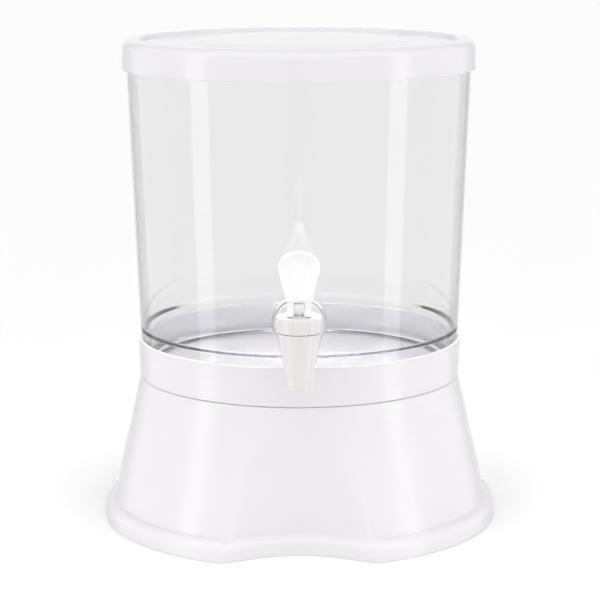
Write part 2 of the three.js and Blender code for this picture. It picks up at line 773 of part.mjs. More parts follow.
function leverSolid() {
  const cam = new THREE.Shape(camOutline().map(([y, z]) => new THREE.Vector2(y, z)));
  const fork = solid(new THREE.ExtrudeGeometry(cam, { depth: forkWidth, bevelEnabled: false })
    .translate(0, 0, -forkWidth / 2)
    .applyMatrix4(new THREE.Matrix4().set(0, 0, 1, 0, 1, 0, 0, 0, 0, 1, 0, 0, 0, 0, 0, 1)));
  const paddle = solid(lofted([
    paddleRing(paddleEdge, paddleFootRise + paddleEdge, -paddleBack),
    paddleRing(0, paddleFootRise, -paddleBack + paddleEdge),
    paddleRing(0, paddleFootRise, paddleFront - paddleEdge),
    paddleRing(paddleEdge, paddleFootRise + paddleEdge, paddleFront),
  ]));
  const dish = solid(lofted([
    paddleRing(dishRimWidth, dishFootRise, paddleFront + fitGap),
    paddleRing(dishRimWidth, dishFootRise, paddleFront),
    paddleRing(dishRimWidth + dishSlopeWidth, dishFootRise + dishSlopeWidth, paddleFront - dishDepth),
  ]));
  const slotWidth = tongueWidth + 2 * fitGap;
  const slotHeight = webRise + camBaseRadius + stemLift + cutOverrun;
  const slot = solid(block(slotWidth, 2 * (camToe + cutOverrun), slotHeight,
    0, 0, webRise - slotHeight / 2));
  const hole = pinHole(forkWidth).translate([0, 0, -pivotHeight]);
  return cutFrom(joined(fork, paddle), dish, slot, hole);
}

// Materials

const finish = (color, roughness, metalness = 0) =>
  new THREE.MeshStandardMaterial({ color, roughness, metalness });

function piece(name, body, material) {
  const mesh = new THREE.Mesh(geometryOf(body), material);
  mesh.name = name;
  return mesh;
}

// Assembly

const stand = new THREE.Group();
stand.add(
  piece('stand_skirt', skirtSolid(), finish(0xf1f0f2, 0.25)),
  piece('stand_collar', collarSolid(), finish(0xf3f2f4, 0.25)),
);

const vessel = new THREE.Group();
const clearPlastic = finish(0xdfe3ea, 0.08);
clearPlastic.transparent = true;
clearPlastic.opacity = 0.35;
vessel.add(
  piece('tank', tankSolid(), clearPlastic),
  piece('lid', lidSolid(), finish(0xf3f2f4, 0.22)),
);

const tap = new THREE.Group();
tap.position.set(0, -bossFace, tapHeight);
tap.add(
  piece('tap_outer_washer', outerWasherSolid(), finish(0xb2b2b5, 0.7)),
  piece('tap_inner_washer', innerWasherSolid(), finish(0xb2b2b5, 0.7)),
  piece('tap_shank_nut', nutSolid(), finish(0xf0eff1, 0.3)),
  piece('tap_body', tapBodySolid(), finish(0xf2f1f3, 0.22)),
);

const valve = new THREE.Group();
valve.position.set(0, -barrelReach, 0);
valve.add(
  piece('tap_bonnet', bonnetSolid(), finish(0xf2f1f3, 0.22)),
  piece('tap_bonnet_seal', sealSolid(), finish(0xe6e4e0, 0.6)),
  piece('tap_stem', stemSolid(), finish(0xe6e6e9, 0.4)),
  piece('tap_seat_cup', cupSolid(), finish(0xe6e4e0, 0.6)),
  piece('tap_spring', springSolid(), finish(0xb9bbbf, 0.3, 0.9)),
);

const handle = new THREE.Group();
handle.position.set(0, 0, pivotHeight);
handle.add(
  piece('tap_lever', leverSolid(), finish(0xf4f3f5, 0.22)),
  piece('tap_lever_pin', pinSolid(), finish(0xb9bbbf, 0.3, 0.9)),
);
valve.add(handle);
tap.add(valve);

const dispenser = new THREE.Group();
dispenser.position.set(0, centreShift, 0);
dispenser.add(stand, vessel, tap);

const root = new THREE.Group();
root.add(dispenser);

export default root;
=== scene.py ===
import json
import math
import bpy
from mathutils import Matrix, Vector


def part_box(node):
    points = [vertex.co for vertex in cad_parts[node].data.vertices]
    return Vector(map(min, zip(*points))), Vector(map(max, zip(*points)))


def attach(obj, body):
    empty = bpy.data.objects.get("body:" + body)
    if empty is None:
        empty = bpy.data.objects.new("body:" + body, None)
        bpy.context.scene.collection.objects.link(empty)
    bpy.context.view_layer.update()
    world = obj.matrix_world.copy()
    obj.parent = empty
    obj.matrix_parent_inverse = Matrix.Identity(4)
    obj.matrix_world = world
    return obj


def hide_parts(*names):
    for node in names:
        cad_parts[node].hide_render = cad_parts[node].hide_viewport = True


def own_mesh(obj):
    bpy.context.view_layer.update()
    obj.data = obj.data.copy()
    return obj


bl_info = {
    "name": "Countertop drink dispenser",
    "version": (1, 0, 0),
    "blender": (4, 5, 0),
    "location": "View3D > Sidebar > Dispenser",
    "description": "Builds a clear drink dispenser with a lid, a lever tap and a scooped stand",
    "category": "Object",
}

import bmesh
import bpy
from bpy.props import FloatProperty, FloatVectorProperty, IntProperty, PointerProperty
from bpy.types import Operator, Panel, PropertyGroup
from mathutils import Matrix, Vector

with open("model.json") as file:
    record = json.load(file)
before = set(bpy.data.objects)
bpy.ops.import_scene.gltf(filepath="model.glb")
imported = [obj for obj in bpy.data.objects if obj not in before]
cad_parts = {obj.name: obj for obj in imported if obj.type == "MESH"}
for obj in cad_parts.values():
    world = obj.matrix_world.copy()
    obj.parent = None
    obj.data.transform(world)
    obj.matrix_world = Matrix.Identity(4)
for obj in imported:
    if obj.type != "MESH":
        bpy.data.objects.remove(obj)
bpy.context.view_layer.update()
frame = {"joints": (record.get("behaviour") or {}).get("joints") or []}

# Places that follow from the frame
MM = 0.001
LID_LOW, LID_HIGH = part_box("lid")
TANK_LOW, TANK_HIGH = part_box("tank")
COLLAR_LOW, COLLAR_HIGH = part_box("stand_collar")
BONNET_LOW, BONNET_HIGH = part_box("tap_bonnet")
BODY_LOW, BODY_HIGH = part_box("tap_body")
SEAL_LOW, SEAL_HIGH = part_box("tap_bonnet_seal")
CUP_LOW, CUP_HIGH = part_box("tap_seat_cup")
OUTER_WASHER_LOW, OUTER_WASHER_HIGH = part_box("tap_outer_washer")
INNER_WASHER_LOW, INNER_WASHER_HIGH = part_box("tap_inner_washer")
NUT_LOW, NUT_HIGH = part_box("tap_shank_nut")
SPRING_LOW, SPRING_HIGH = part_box("tap_spring")
STEM_LOW, STEM_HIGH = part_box("tap_stem")
PIVOT = Vector(next(j for j in frame["joints"] if j["name"] == "lever_tilt")["pos_m"])
VESSEL_AXIS = Vector((0, (LID_LOW.y + LID_HIGH.y) / 2, 0))
VALVE_AXIS = Vector((0, PIVOT.y, 0))
SHANK_HEIGHT = (OUTER_WASHER_LOW.z + OUTER_WASHER_HIGH.z) / 2
ORIGIN = Vector()
FIT_GAP = 0.3 * MM

# Ends the materials' names, because the CAD materials already have the slots' names
FINISH = "_finish"
# Edges between faces that meet at more degrees than this stay sharp
SHARPEST = 32
# Cosine of the widest direction from the front that the scoop reaches
SCOOP_FACING = 0.2
# How strongly the tank's depth takes up light
TANK_DENSITY = 36.0


def length(name, millimetres, description):
    return FloatProperty(name=name, description=description, default=millimetres * MM,
                         unit="LENGTH", subtype="DISTANCE")


def share(name, value, description):
    return FloatProperty(name=name, description=description, default=value)


def angle(name, degrees, description):
    return FloatProperty(name=name, description=description, default=math.radians(degrees),
                         unit="ROTATION", subtype="ANGLE")


def count(name, value, description):
    return IntProperty(name=name, description=description, default=value, min=3)


def colour(name, value, description):
    return FloatVectorProperty(name=name, description=description, default=value,
                               subtype="COLOR", size=3, min=0, max=1)


class StandSizes(PropertyGroup):
    foot_radius: length("Foot radius", 136.5, "Radius of the round foot flange")
    foot_height: length("Foot height", 13.8, "Height of the flange over the floor")
    foot_edge: length("Foot edge", 6.5, "Radius of the flange's upper edge")
    foot_fillet: length("Foot fillet", 2.2, "Softness of the corner between flange and skirt")
    floor_radius: length("Skirt foot radius", 132.8, "Radius of the skirt's cone at the floor")
    top_radius: length("Skirt top radius", 110.35, "Radius of the skirt at the seam")
    seam_height: length("Seam height", 99.6, "Height of the skirt's top")
    wall: length("Wall", 2.4, "Thickness of the skirt and its shelf")
    shelf_hole: length("Shelf hole radius", 94.3, "Radius of the hole in the shelf")
    scoop_centre: length("Scoop distance", 176.3, "How far in front of the axis the scoop stands")
    scoop_radius: length("Scoop radius", 81.3, "Radius of the scoop's cone at the floor")
    scoop_lean: angle("Scoop lean", 34.5, "How far the scoop's cone leans forward")
    scoop_growth: share("Scoop growth", 0.583, "How fast the cone widens along its axis")
    scoop_softness: length("Scoop edge", 4.5, "Softness of the scoop's edge")
    foot_scoop_centre: length("Foot scoop distance", 182.3, "Distance of the foot's hollow")
    foot_scoop_radius: length("Foot scoop radius", 72, "Radius of the foot's hollow")
    foot_scoop_softness: length("Foot corner", 14, "Softness of the foot's two corners")
    gusset_depth: length("Gusset depth", 26, "How far the gussets reach down from the shelf")
    gusset_width: length("Gusset thickness", 2, "Thickness of a gusset")
    gussets: count("Gussets", 12, "Number of webs under the shelf")
    collar_seam_radius: length("Collar seam radius", 110.7, "Radius of the collar at the seam")
    collar_rim_radius: length("Collar rim radius", 111.5, "Radius of the collar at its rim")
    collar_edge: length("Collar edge", 0.9, "Radius of the collar's edges")
    deck: length("Deck", 2.4, "Thickness of the deck that the tank stands on")
    spigot_wall: length("Spigot wall", 2, "Thickness of the spigot under the collar")
    bead_height: length("Bead height", 1.4, "Height of the snap bead on the spigot")
    bead_reach: length("Bead reach", 0.7, "How far the snap bead stands out")


class TankSizes(PropertyGroup):
    rim_radius: length("Rim radius", 117.15, "Radius of the tank's rim")
    taper: angle("Taper", 2.13, "How much the tank's wall leans")
    wall: length("Wall", 2.4, "Thickness of the tank's wall")
    floor: length("Floor", 2.6, "Thickness of the tank's floor")
    floor_rise: length("Floor rise", 2.8, "How far the floor lies above the foot ring")
    foot_ring: length("Foot ring width", 3.4, "Width of the ring that the tank stands on")
    foot_edge: length("Foot edge", 2.6, "Width of the bevel round the tank's foot")
    step_height: length("Step height", 134, "Height of the step inside the wall")
    step_width: length("Step width", 2.2, "How much thicker the wall is below the step")
    heel: length("Heel radius", 9, "Radius between the wall and the floor inside")
    boss_radius: length("Boss radius", 17.6, "Radius of the boss for the tap")
    boss_depth: length("Boss thickness", 5.2, "Thickness of the boss through the wall")
    hole_radius: length("Tap hole radius", 8.2, "Radius of the hole for the tap's shank")


class LidSizes(PropertyGroup):
    radius: length("Radius", 120, "Radius of the lid's skirt at its foot")
    draft: length("Draft", 0.5, "How much narrower the skirt is at its shoulder")
    edge: length("Edge", 6, "Radius of the shoulder")
    wall: length("Wall", 2.3, "Thickness of the skirt")
    ridge: length("Ridge width", 6, "Width of the flat ridge round the top")
    groove: length("Groove width", 3, "Width of the groove inside the ridge")
    groove_depth: length("Groove depth", 1.1, "Depth of the groove under the panel")
    panel_drop: length("Panel drop", 2.2, "How far the panel lies under the ridge")
    panel: length("Panel", 2.4, "Thickness of the panel")
    plateau_radius: length("Plateau radius", 70, "Radius of the raised middle")
    plateau_slope: length("Plateau slope", 9, "Width of the slope round the middle")
    plateau_rise: length("Plateau rise", 1.5, "Height of the raised middle")
    crown: length("Crown", 0.5, "How much the middle is domed")
    gate_radius: length("Gate radius", 2.2, "Radius of the moulding mark in the middle")
    gate_height: length("Gate height", 0.4, "Height of the moulding mark")
    plug_radius: length("Plug radius", 113.4, "Radius of the ring that fits in the tank")
    plug_wall: length("Plug wall", 2, "Thickness of that ring")
    plug_depth: length("Plug depth", 7, "How deep that ring reaches")


class TapSizes(PropertyGroup):
    flange_radius: length("Flange radius", 16, "Radius of the tap's flange")
    flange: length("Flange", 3, "Thickness of the flange")
    shank_radius: length("Shank radius", 7.9, "Radius over the shank's thread")
    bore_radius: length("Bore radius", 5.2, "Radius of the bore through shank and neck")
    thread_pitch: length("Thread pitch", 1.5, "Pitch of the shank's thread")
    thread_depth: length("Thread depth", 0.7, "Depth of the shank's thread")
    neck_radius: length("Neck radius", 8.5, "Radius of the neck between flange and barrel")
    neck_drop: length("Neck drop", 9.1, "How far the neck lies under the shank's axis")
    neck_bore_drop: length("Neck bore drop", 6.6, "How far its bore lies under that axis")
    barrel_radius: length("Barrel radius", 14.1, "Radius of the barrel at its shoulder")
    barrel_neck: length("Barrel neck radius", 11.7, "Radius of the threaded neck in the bonnet")
    chamber_radius: length("Chamber radius", 9.6, "Radius of the valve chamber")
    seat_height: length("Seat height", 140.5, "Height of the valve seat over the floor")
    outlet_radius: length("Outlet radius", 5.3, "Radius of the outlet")
    tip_radius: length("Tip radius", 7.25, "Radius of the spout's tip")
    tip_edge: length("Tip edge", 0.9, "Radius of the tip's edge")
    bonnet_radius: length("Bonnet radius", 14.7, "Radius of the bonnet")
    bonnet_edge: length("Bonnet edge", 2, "Radius of the bonnet's shoulder")
    bonnet_bore: length("Bonnet bore radius", 12, "Radius of the bonnet's inside")
    bonnet_hole: length("Bonnet hole radius", 2.9, "Radius of the hole for the stem")
    grips: count("Grip grooves", 9, "Number of grooves round the bonnet")
    grip_radius: length("Grip radius", 0.9, "Radius of a grip groove")
    grip_depth: length("Grip depth", 0.5, "Depth of a grip groove")
    grip_margin: length("Grip margin", 2.4, "Distance from the grooves to the bonnet's top")
    grip_phase: angle("Grip phase", 25.85, "Turn of the first groove from the front")
    nut_flats: length("Nut width", 25, "Width of the nut across its flats")
    nut_collar: length("Nut collar radius", 14.6, "Radius of the nut's collar")
    nut_collar_width: length("Nut collar", 1.6, "Thickness of the nut's collar")
    seal_radius: length("Seal radius", 11.4, "Radius of the seal under the bonnet")
    washer_radius: length("Washer radius", 17.1, "Radius of the washer under the flange")
    inner_washer_radius: length("Inner washer radius", 13, "Radius of the washer inside")


class ValveSizes(PropertyGroup):
    stem_radius: length("Stem radius", 2.3, "Radius of the stem")
    tongue_width: length("Tongue width", 6.3, "Width of the stem's flat head")
    tongue_radius: length("Tongue radius", 2.4, "Radius of the head round the pin")
    tongue_foot: length("Tongue foot", 0.9, "Height of the head's foot over the bonnet")
    seat_radius: length("Spring seat radius", 6.2, "Radius of the collar under the spring")
    seat_thickness: length("Spring seat", 1, "Thickness of that collar")
    barb_radius: length("Barb radius", 3.4, "Radius of the barb in the seat cup")
    barb_height: length("Barb height", 2.4, "Height of the barb")
    cup_radius: length("Cup radius", 8.2, "Radius of the seat cup")
    cup_floor: length("Cup floor", 2.2, "Thickness of the cup's floor")
    cup_edge: length("Cup edge", 1.2, "Rounding of the cup's edges")
    spring_radius: length("Spring radius", 4.6, "Mean radius of the spring")
    wire_radius: length("Wire radius", 0.45, "Radius of the spring's wire")
    turns: count("Turns", 6, "Turns of the spring")
    pin_radius: length("Pin radius", 1.25, "Radius of the lever's pin")


class LeverSizes(PropertyGroup):
    tilt: angle("Tilt", 45, "How far the lever tips")
    stem_lift: length("Stem lift", 5, "How far the stem rises at full tilt")
    cam_radius: length("Cam radius", 5.2, "Distance from the pin to the bonnet at rest")
    fork_width: length("Fork width", 15.3, "Width over the fork's two legs")
    web_rise: length("Web rise", 2.8, "Height of the fork's web over the pin")
    foot_rise: length("Paddle foot", 3.6, "Height of the paddle's foot over the pin")
    foot_width: length("Paddle foot width", 15.9, "Width of the paddle's foot")
    width: length("Paddle width", 26.1, "Greatest width of the paddle")
    shoulder_rise: length("Paddle shoulder", 24.8, "Height of its widest place over the pin")
    top_rise: length("Paddle top", 35.1, "Height of the paddle's top over the pin")
    front: length("Paddle front", 3.2, "Reach of the paddle in front of the pin")
    back: length("Paddle back", 2, "Reach of the paddle behind the pin")
    edge: length("Paddle edge", 0.9, "Radius of the paddle's edges")
    leg_front: length("Fork front", 2.2, "Reach of the fork's legs in front of the pin")
    toe_turn: angle("Toe turn", 12.5, "Tilt up to which the legs' feet roll on the bonnet")
    toe: length("Toe thickness", 0.45, "Thickness of the legs' toes at their tips")
    rim: length("Dish rim", 0.9, "Width of the rim round the dish")
    slope: length("Dish slope", 4.3, "Width of the slope into the dish")
    foot_slope: length("Dish foot slope", 0.9, "Width of that slope at the paddle's foot")
    dish: length("Dish depth", 1.7, "Depth of the dish")
    spread: share("Paddle spread", 0.5, "How early the paddle's sides spread")
    fill: share("Paddle fill", 0.9, "How full the paddle's shoulders are")


class Finishes(PropertyGroup):
    stand_white: colour("Stand", (0.765, 0.75, 0.769), "Colour of the skirt and the collar")
    lid_white: colour("Lid", (0.765, 0.751, 0.775), "Colour of the lid")
    tap_white: colour("Tap", (0.725, 0.703, 0.703), "Colour of the tap's body, bonnet and nut")
    lever_white: colour("Lever", (0.9, 0.9, 0.905), "Colour of the lever")
    tank_clear: colour("Tank", (0.22, 0.225, 0.27), "Tint of the clear tank in its depth")
    washer_grey: colour("Washers", (0.5, 0.5, 0.52), "Colour of the rubber washers")
    silicone: colour("Silicone", (0.8, 0.79, 0.77), "Colour of the seal and the seat cup")
    stem_white: colour("Stem", (0.8, 0.8, 0.82), "Colour of the stem")
    steel: colour("Steel", (0.62, 0.62, 0.64), "Colour of the spring and the pin")


class StudioSettings(PropertyGroup):
    camera_distance: length("Camera distance", 1399.1,
                            "Distance of the camera from the tank's axis")
    camera_height: length("Camera height", 422.6, "Height of the camera over the floor")
    camera_side: length("Camera side", 1, "Sideways place of the camera")
    camera_pitch: angle("Camera pitch", 78.94, "Tilt of the camera, 90 is level")
    camera_roll: angle("Camera roll", 0.11, "Roll of the camera")
    lens: share("Lens", 123.39, "Focal length in millimetres on a 36 mm sensor")
    sky: share("Surroundings", 1, "Brightness of the white surroundings")
    ceiling_front: share("Ceiling in front", 2.1, "Brightness high up in front of the object")
    ceiling_back: share("Ceiling behind", 0.6, "Brightness high up behind the object")
    zenith: share("Zenith", 0.6, "Brightness right overhead")
    lid_glow: share("Light through the lid", 2.5,
                    "Power of the light that falls in through the lid")
    glow_width: length("Glow width", 120, "Width of that light")
    glow_depth: length("Glow depth", 90, "Depth of that light")
    glow_tilt: angle("Glow tilt", 6, "How far it faces the back, 0 faces down")
    glow_front: length("Glow place", 40, "How far its middle stands in front of the tank's axis")
    glow_drop: length("Glow drop", 9, "How far its middle lies under the tank's rim")
    floor: share("Floor", 0.93, "Lightness of the floor")


# Outlines

def rounded(corners, closed=True, spacing=4 * MM, turn=12, hold=0.35 * MM):
    """Outline through corners of (across, up, fillet): arcs at the corners, and straight runs that
    have a point close to each end so that their shading stays flat."""
    total = len(corners)
    bends = []
    for i, (across, up, fillet) in enumerate(corners):
        here = Vector((across, up))
        if fillet <= 0 or (not closed and i in (0, total - 1)):
            bends.append([here])
            continue
        before = (Vector(corners[i - 1][:2]) - here).normalized()
        after = (Vector(corners[(i + 1) % total][:2]) - here).normalized()
        opening = before.angle(after)
        reach = fillet / math.tan(opening / 2)
        centre = here + (before + after).normalized() * fillet / math.sin(opening / 2)
        first = here + before * reach - centre
        sweep = (math.pi - opening) * (1 if before.cross(after) < 0 else -1)
        steps = max(2, math.ceil(abs(math.degrees(sweep)) / turn))
        bends.append([centre + Matrix.Rotation(sweep * k / steps, 2) @ first
                      for k in range(steps + 1)])
    points = []
    for i, bend in enumerate(bends):
        points += bend
        if not closed and i == total - 1:
            break
        points += straight_run(bend[-1], bends[(i + 1) % total][0], spacing, hold)
    return [(p.x, p.y) for p in points]


def straight_run(start, end, spacing, hold):
    """Points between start and end, neither included, with one close to each of them."""
    reach = (end - start).length
    if reach < 3 * hold:
        return []
    low, high = start.lerp(end, hold / reach), end.lerp(start, hold / reach)
    steps = max(1, round((high - low).length / spacing))
    return [low.lerp(high, k / steps) for k in range(steps + 1)]


def arc(centre, radius, start, end, steps):
    """Points of an arc, both ends included; angles in degrees."""
    places = []
    for k in range(steps + 1):
        turn = math.radians(start + (end - start) * k / steps)
        places.append((centre[0] + radius * math.cos(turn), centre[1] + radius * math.sin(turn)))
    return places


# Meshes and objects

def mesh_object(name, vertices, edges=(), faces=()):
    mesh = bpy.data.meshes.new(name)
    mesh.from_pydata([tuple(v) for v in vertices], list(edges), list(faces))
    mesh.update()
    made = bpy.data.objects.new(name, mesh)
    bpy.context.scene.collection.objects.link(made)
    return made


def baked(made):
    """Turns the evaluated result into a plain mesh and takes the modifiers off."""
    graph = bpy.context.evaluated_depsgraph_get()
    mesh = bpy.data.meshes.new_from_object(made.evaluated_get(graph), depsgraph=graph)
    old = made.data
    made.modifiers.clear()
    made.data = mesh
    mesh.name = made.name
    bpy.data.meshes.remove(old)
    return made


def cleaned(made, tolerance=0.002 * MM):
    """Merges doubled points and turns the faces outwards."""
    shape = bmesh.new()
    shape.from_mesh(made.data)
    bmesh.ops.remove_doubles(shape, verts=shape.verts, dist=tolerance)
    bmesh.ops.dissolve_degenerate(shape, edges=shape.edges, dist=tolerance)
    if shape.calc_volume(signed=True) < 0:
        bmesh.ops.reverse_faces(shape, faces=shape.faces)
    shape.to_mesh(made.data)
    shape.free()
    return made


def smooth(made, sharpest=SHARPEST):
    made.data.shade_smooth()
    made.data.set_sharp_from_angle(angle=math.radians(sharpest))
    return made


def combined(made, operation, tool):
    """Joins or cuts with the tool, which is used up."""
    step = made.modifiers.new(operation, "BOOLEAN")
    step.operation = operation
    step.solver = "EXACT"
    step.object = tool
    baked(made)
    bpy.data.objects.remove(tool)
    return cleaned(made)


def bevelled(made, width, segments=3, sharpest=SHARPEST):
    edge = made.modifiers.new("edges", "BEVEL")
    edge.width = width
    edge.segments = segments
    edge.limit_method = "ANGLE"
    edge.angle_limit = math.radians(sharpest)
    return baked(made)


def fitted(made, body, slot, *nodes):
    """Gives a finished piece the material of its slot and its place in the assembly."""
    made.data.materials.clear()
    made.data.materials.append(bpy.data.materials[slot + FINISH])
    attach(made, body)
    if nodes:
        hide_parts(*nodes)
    return made


# Node trees

def enabled(sockets, name):
    return next(s for s in sockets if s.name == name and s.enabled)


def add_node(tree, kind, links=None, **settings):
    node = tree.nodes.new(kind)
    for name, value in settings.items():
        setattr(node, name, value)
    for name, value in (links or {}).items():
        socket = enabled(node.inputs, name)
        if isinstance(value, Field):
            tree.links.new(value.socket, socket)
        elif isinstance(value, bpy.types.NodeSocket):
            tree.links.new(value, socket)
        else:
            socket.default_value = value
    return node


class Field:
    """A number in a node tree, with arithmetic that adds Math nodes."""

    def __init__(self, tree, socket):
        self.tree = tree
        self.socket = socket

    def math(self, operation, *others):
        node = self.tree.nodes.new("ShaderNodeMath")
        node.operation = operation
        for slot, value in zip(node.inputs, (self, *others)):
            if isinstance(value, Field):
                self.tree.links.new(value.socket, slot)
            else:
                slot.default_value = value
        return Field(self.tree, node.outputs[0])

    def __add__(self, other):
        return self.math("ADD", other)

    def __sub__(self, other):
        return self.math("SUBTRACT", other)

    def __mul__(self, other):
        return self.math("MULTIPLY", other)

    def __truediv__(self, other):
        return self.math("DIVIDE", other)

    def __mod__(self, other):
        return self.math("MODULO", other)

    def __neg__(self):
        return self.math("MULTIPLY", -1)

    __radd__ = __add__
    __rmul__ = __mul__


def smaller(a, b, softness):
    """The smaller of two numbers, with a soft change from one to the other."""
    blend = (softness - (a - b).math("ABSOLUTE")).math("MAXIMUM", 0)
    return a.math("MINIMUM", b) - blend * blend / softness / 4


def larger(a, b, softness):
    return -smaller(-a, -b, softness)


def new_geometry_tree(name, inputs):
    """A modifier tree with named inputs given as (name, socket kind)."""
    tree = bpy.data.node_groups.new(name, "GeometryNodeTree")
    tree.is_modifier = True
    tree.interface.new_socket("Geometry", in_out="OUTPUT", socket_type="NodeSocketGeometry")
    for label, kind in (("Geometry", "Geometry"), *inputs, ("Material", "Material")):
        tree.interface.new_socket(label, in_out="INPUT", socket_type="NodeSocket" + kind)
    start = tree.nodes.new("NodeGroupInput")
    return tree, start


def end_geometry_tree(tree, start, geometry):
    """Ends a tree in Realize Instances and Set Material."""
    real = add_node(tree, "GeometryNodeRealizeInstances", {"Geometry": geometry})
    shown = add_node(tree, "GeometryNodeSetMaterial",
                     {"Geometry": real.outputs[0], "Material": start.outputs["Material"]})
    end = tree.nodes.new("NodeGroupOutput")
    tree.links.new(shown.outputs[0], end.inputs[0])
    return tree


def apply_tree(made, tree, **values):
    """Runs a tree on an object with its inputs set by identifier, and bakes the result."""
    step = made.modifiers.new(tree.name, "NODES")
    step.node_group = tree
    for item in tree.interface.items_tree:
        key = item.name.lower().replace(" ", "_")
        if item.in_out == "INPUT" and key in values:
            step[item.identifier] = values[key]
    baked(made)
    return cleaned(made)


def turned_tree(name, extra=(), rule=None):
    """Revolves the object's own outline, whose points hold radius in x and height in z. The rule
    may change the radius with the direction, 0 at the front, and the height."""
    tree, start = new_geometry_tree(name, (
        ("Sides", "Int"), ("Rows", "Int"), ("Crowding", "Float"), ("Centre", "Vector"), *extra))
    take = lambda label: Field(tree, start.outputs[label])
    profile = start.outputs["Geometry"]
    size = add_node(tree, "GeometryNodeAttributeDomainSize", {"Geometry": profile},
                    component="MESH")
    grid = add_node(tree, "GeometryNodeMeshGrid", {
        "Size X": 1.0, "Size Y": 1.0, "Vertices X": take("Sides") + 1, "Vertices Y": take("Rows")})
    index = Field(tree, add_node(tree, "GeometryNodeInputIndex").outputs[0])
    column = (index / take("Rows")).math("FLOOR")
    row = index % take("Rows") % Field(tree, size.outputs["Point Count"])

    def sampled(kind, value):
        node = add_node(tree, "GeometryNodeSampleIndex",
                        {"Geometry": profile, "Index": row}, data_type=kind, domain="POINT")
        tree.links.new(value, enabled(node.inputs, "Value"))
        return enabled(node.outputs, "Value")

    place = sampled("FLOAT_VECTOR", tree.nodes.new("GeometryNodeInputPosition").outputs[0])
    split = add_node(tree, "ShaderNodeSeparateXYZ", {"Vector": place})
    radius, height = Field(tree, split.outputs["X"]), Field(tree, split.outputs["Z"])
    even = column / take("Sides") * math.tau - math.pi
    turn = even - take("Crowding") * even.math("SINE")
    if rule:
        def attribute(label):
            node = tree.nodes.new("GeometryNodeInputNamedAttribute")
            node.data_type = "FLOAT"
            node.inputs["Name"].default_value = label
            return Field(tree, sampled("FLOAT", enabled(node.outputs, "Attribute")))
        radius = rule(take, attribute, radius, height, turn)
    across = radius * turn.math("SINE")
    ahead = -(radius * turn.math("COSINE"))
    point = add_node(tree, "ShaderNodeCombineXYZ", {"X": across, "Y": ahead, "Z": height})
    shift = add_node(tree, "ShaderNodeVectorMath", operation="ADD")
    tree.links.new(point.outputs[0], shift.inputs[0])
    tree.links.new(start.outputs["Centre"], shift.inputs[1])
    moved = add_node(tree, "GeometryNodeSetPosition",
                     {"Geometry": grid.outputs["Mesh"], "Position": shift.outputs[0]})
    merged = add_node(tree, "GeometryNodeMergeByDistance",
                      {"Geometry": moved.outputs[0], "Distance": 0.004 * MM})
    even_shade = add_node(tree, "GeometryNodeSetShadeSmooth", {"Geometry": merged.outputs[0]})
    return end_geometry_tree(tree, start, even_shade.outputs[0])


def scoop_rule(take, attribute, radius, height, turn):
    """Hollows a skirt by a cone that leans forward, and its foot by an upright round hollow. Each
    point of the outline says how deep it lies under the skirt's face and under the foot's face."""
    wall_depth, foot_depth = attribute("wall_depth"), attribute("foot_depth")
    cosine = turn.math("COSINE")
    lean = -take("Scoop Lean")
    centre, growth = take("Scoop Centre"), take("Scoop Growth")
    lean_sine, lean_cosine = lean.math("SINE"), lean.math("COSINE")
    wide = take("Scoop Radius") + wall_depth
    along = centre * lean_sine + height * lean_cosine
    slide = cosine * lean_sine
    at_axis = wide + growth * along
    square = (slide * slide * (growth * growth + 1)) * -1 + 1
    linear = (along * slide - centre * cosine + growth * slide * at_axis) * 2
    constant = centre * centre + height * height - along * along - at_axis * at_axis
    inside = linear * linear - square * constant * 4
    root = (-linear - inside.math("MAXIMUM", 0).math("SQRT")) / (square * 2)
    miss = inside.math("LESS_THAN", 0) + cosine.math("LESS_THAN", SCOOP_FACING)
    scoop = root + miss.math("MINIMUM", 1)
    wall = smaller(radius, scoop, take("Scoop Softness"))
    foot_centre = take("Foot Scoop Centre")
    foot_wide = take("Foot Scoop Radius") + foot_depth
    sideways = foot_centre * turn.math("SINE")
    foot_inside = foot_wide * foot_wide - sideways * sideways
    foot_root = foot_centre * cosine - foot_inside.math("MAXIMUM", 0).math("SQRT")
    foot_miss = foot_inside.math("LESS_THAN", 0) + cosine.math("LESS_THAN", SCOOP_FACING)
    hollow = foot_root + foot_miss.math("MINIMUM", 1)
    foot = smaller(take("Foot Radius") - foot_depth, hollow, take("Foot Softness"))
    return larger(wall, foot, take("Fillet"))


def thread_rule(take, attribute, radius, height, turn):
    """Cuts a thread where the outline's points say how deep."""
    depth = attribute("thread_depth")
    phase = height / take("Pitch") + turn / math.tau
    wave = phase.math("FRACT") - 0.5
    return radius - depth * (wave.math("ABSOLUTE") * -2 + 1)


def flats_rule(take, attribute, radius, height, turn):
    """Cuts flats round a nut."""
    step = math.tau / 6
    side = (turn + math.tau) % step - step / 2
    flat = take("Half Width") / side.math("COSINE")
    inside = attribute("inside")
    cut = smaller(radius, flat, take("Softness"))
    return inside * radius + (inside * -1 + 1) * cut


def outline_object(name, outline, attributes=None):
    """A chain of points of radius and height, with a value at each point for every attribute."""
    edges = [(i, i + 1) for i in range(len(outline) - 1)]
    made = mesh_object(name, [(across, 0, up) for across, up in outline], edges)
    for label, values in (attributes or {}).items():
        layer = made.data.attributes.new(label, "FLOAT", "POINT")
        layer.data.foreach_set("value", values)
    return made


def turned(name, outline, sides, centre=VESSEL_AXIS, closed=True, tree="turned", attributes=None,
           crowding=0.0, **values):
    """A solid of revolution; a closed outline makes a ring, an open one starts and ends on the
    axis."""
    made = outline_object(name, outline, attributes)
    rows = len(outline) + (1 if closed else 0)
    apply_tree(made, bpy.data.node_groups[tree], sides=sides, rows=rows, crowding=crowding,
               centre=centre, **values)
    return made


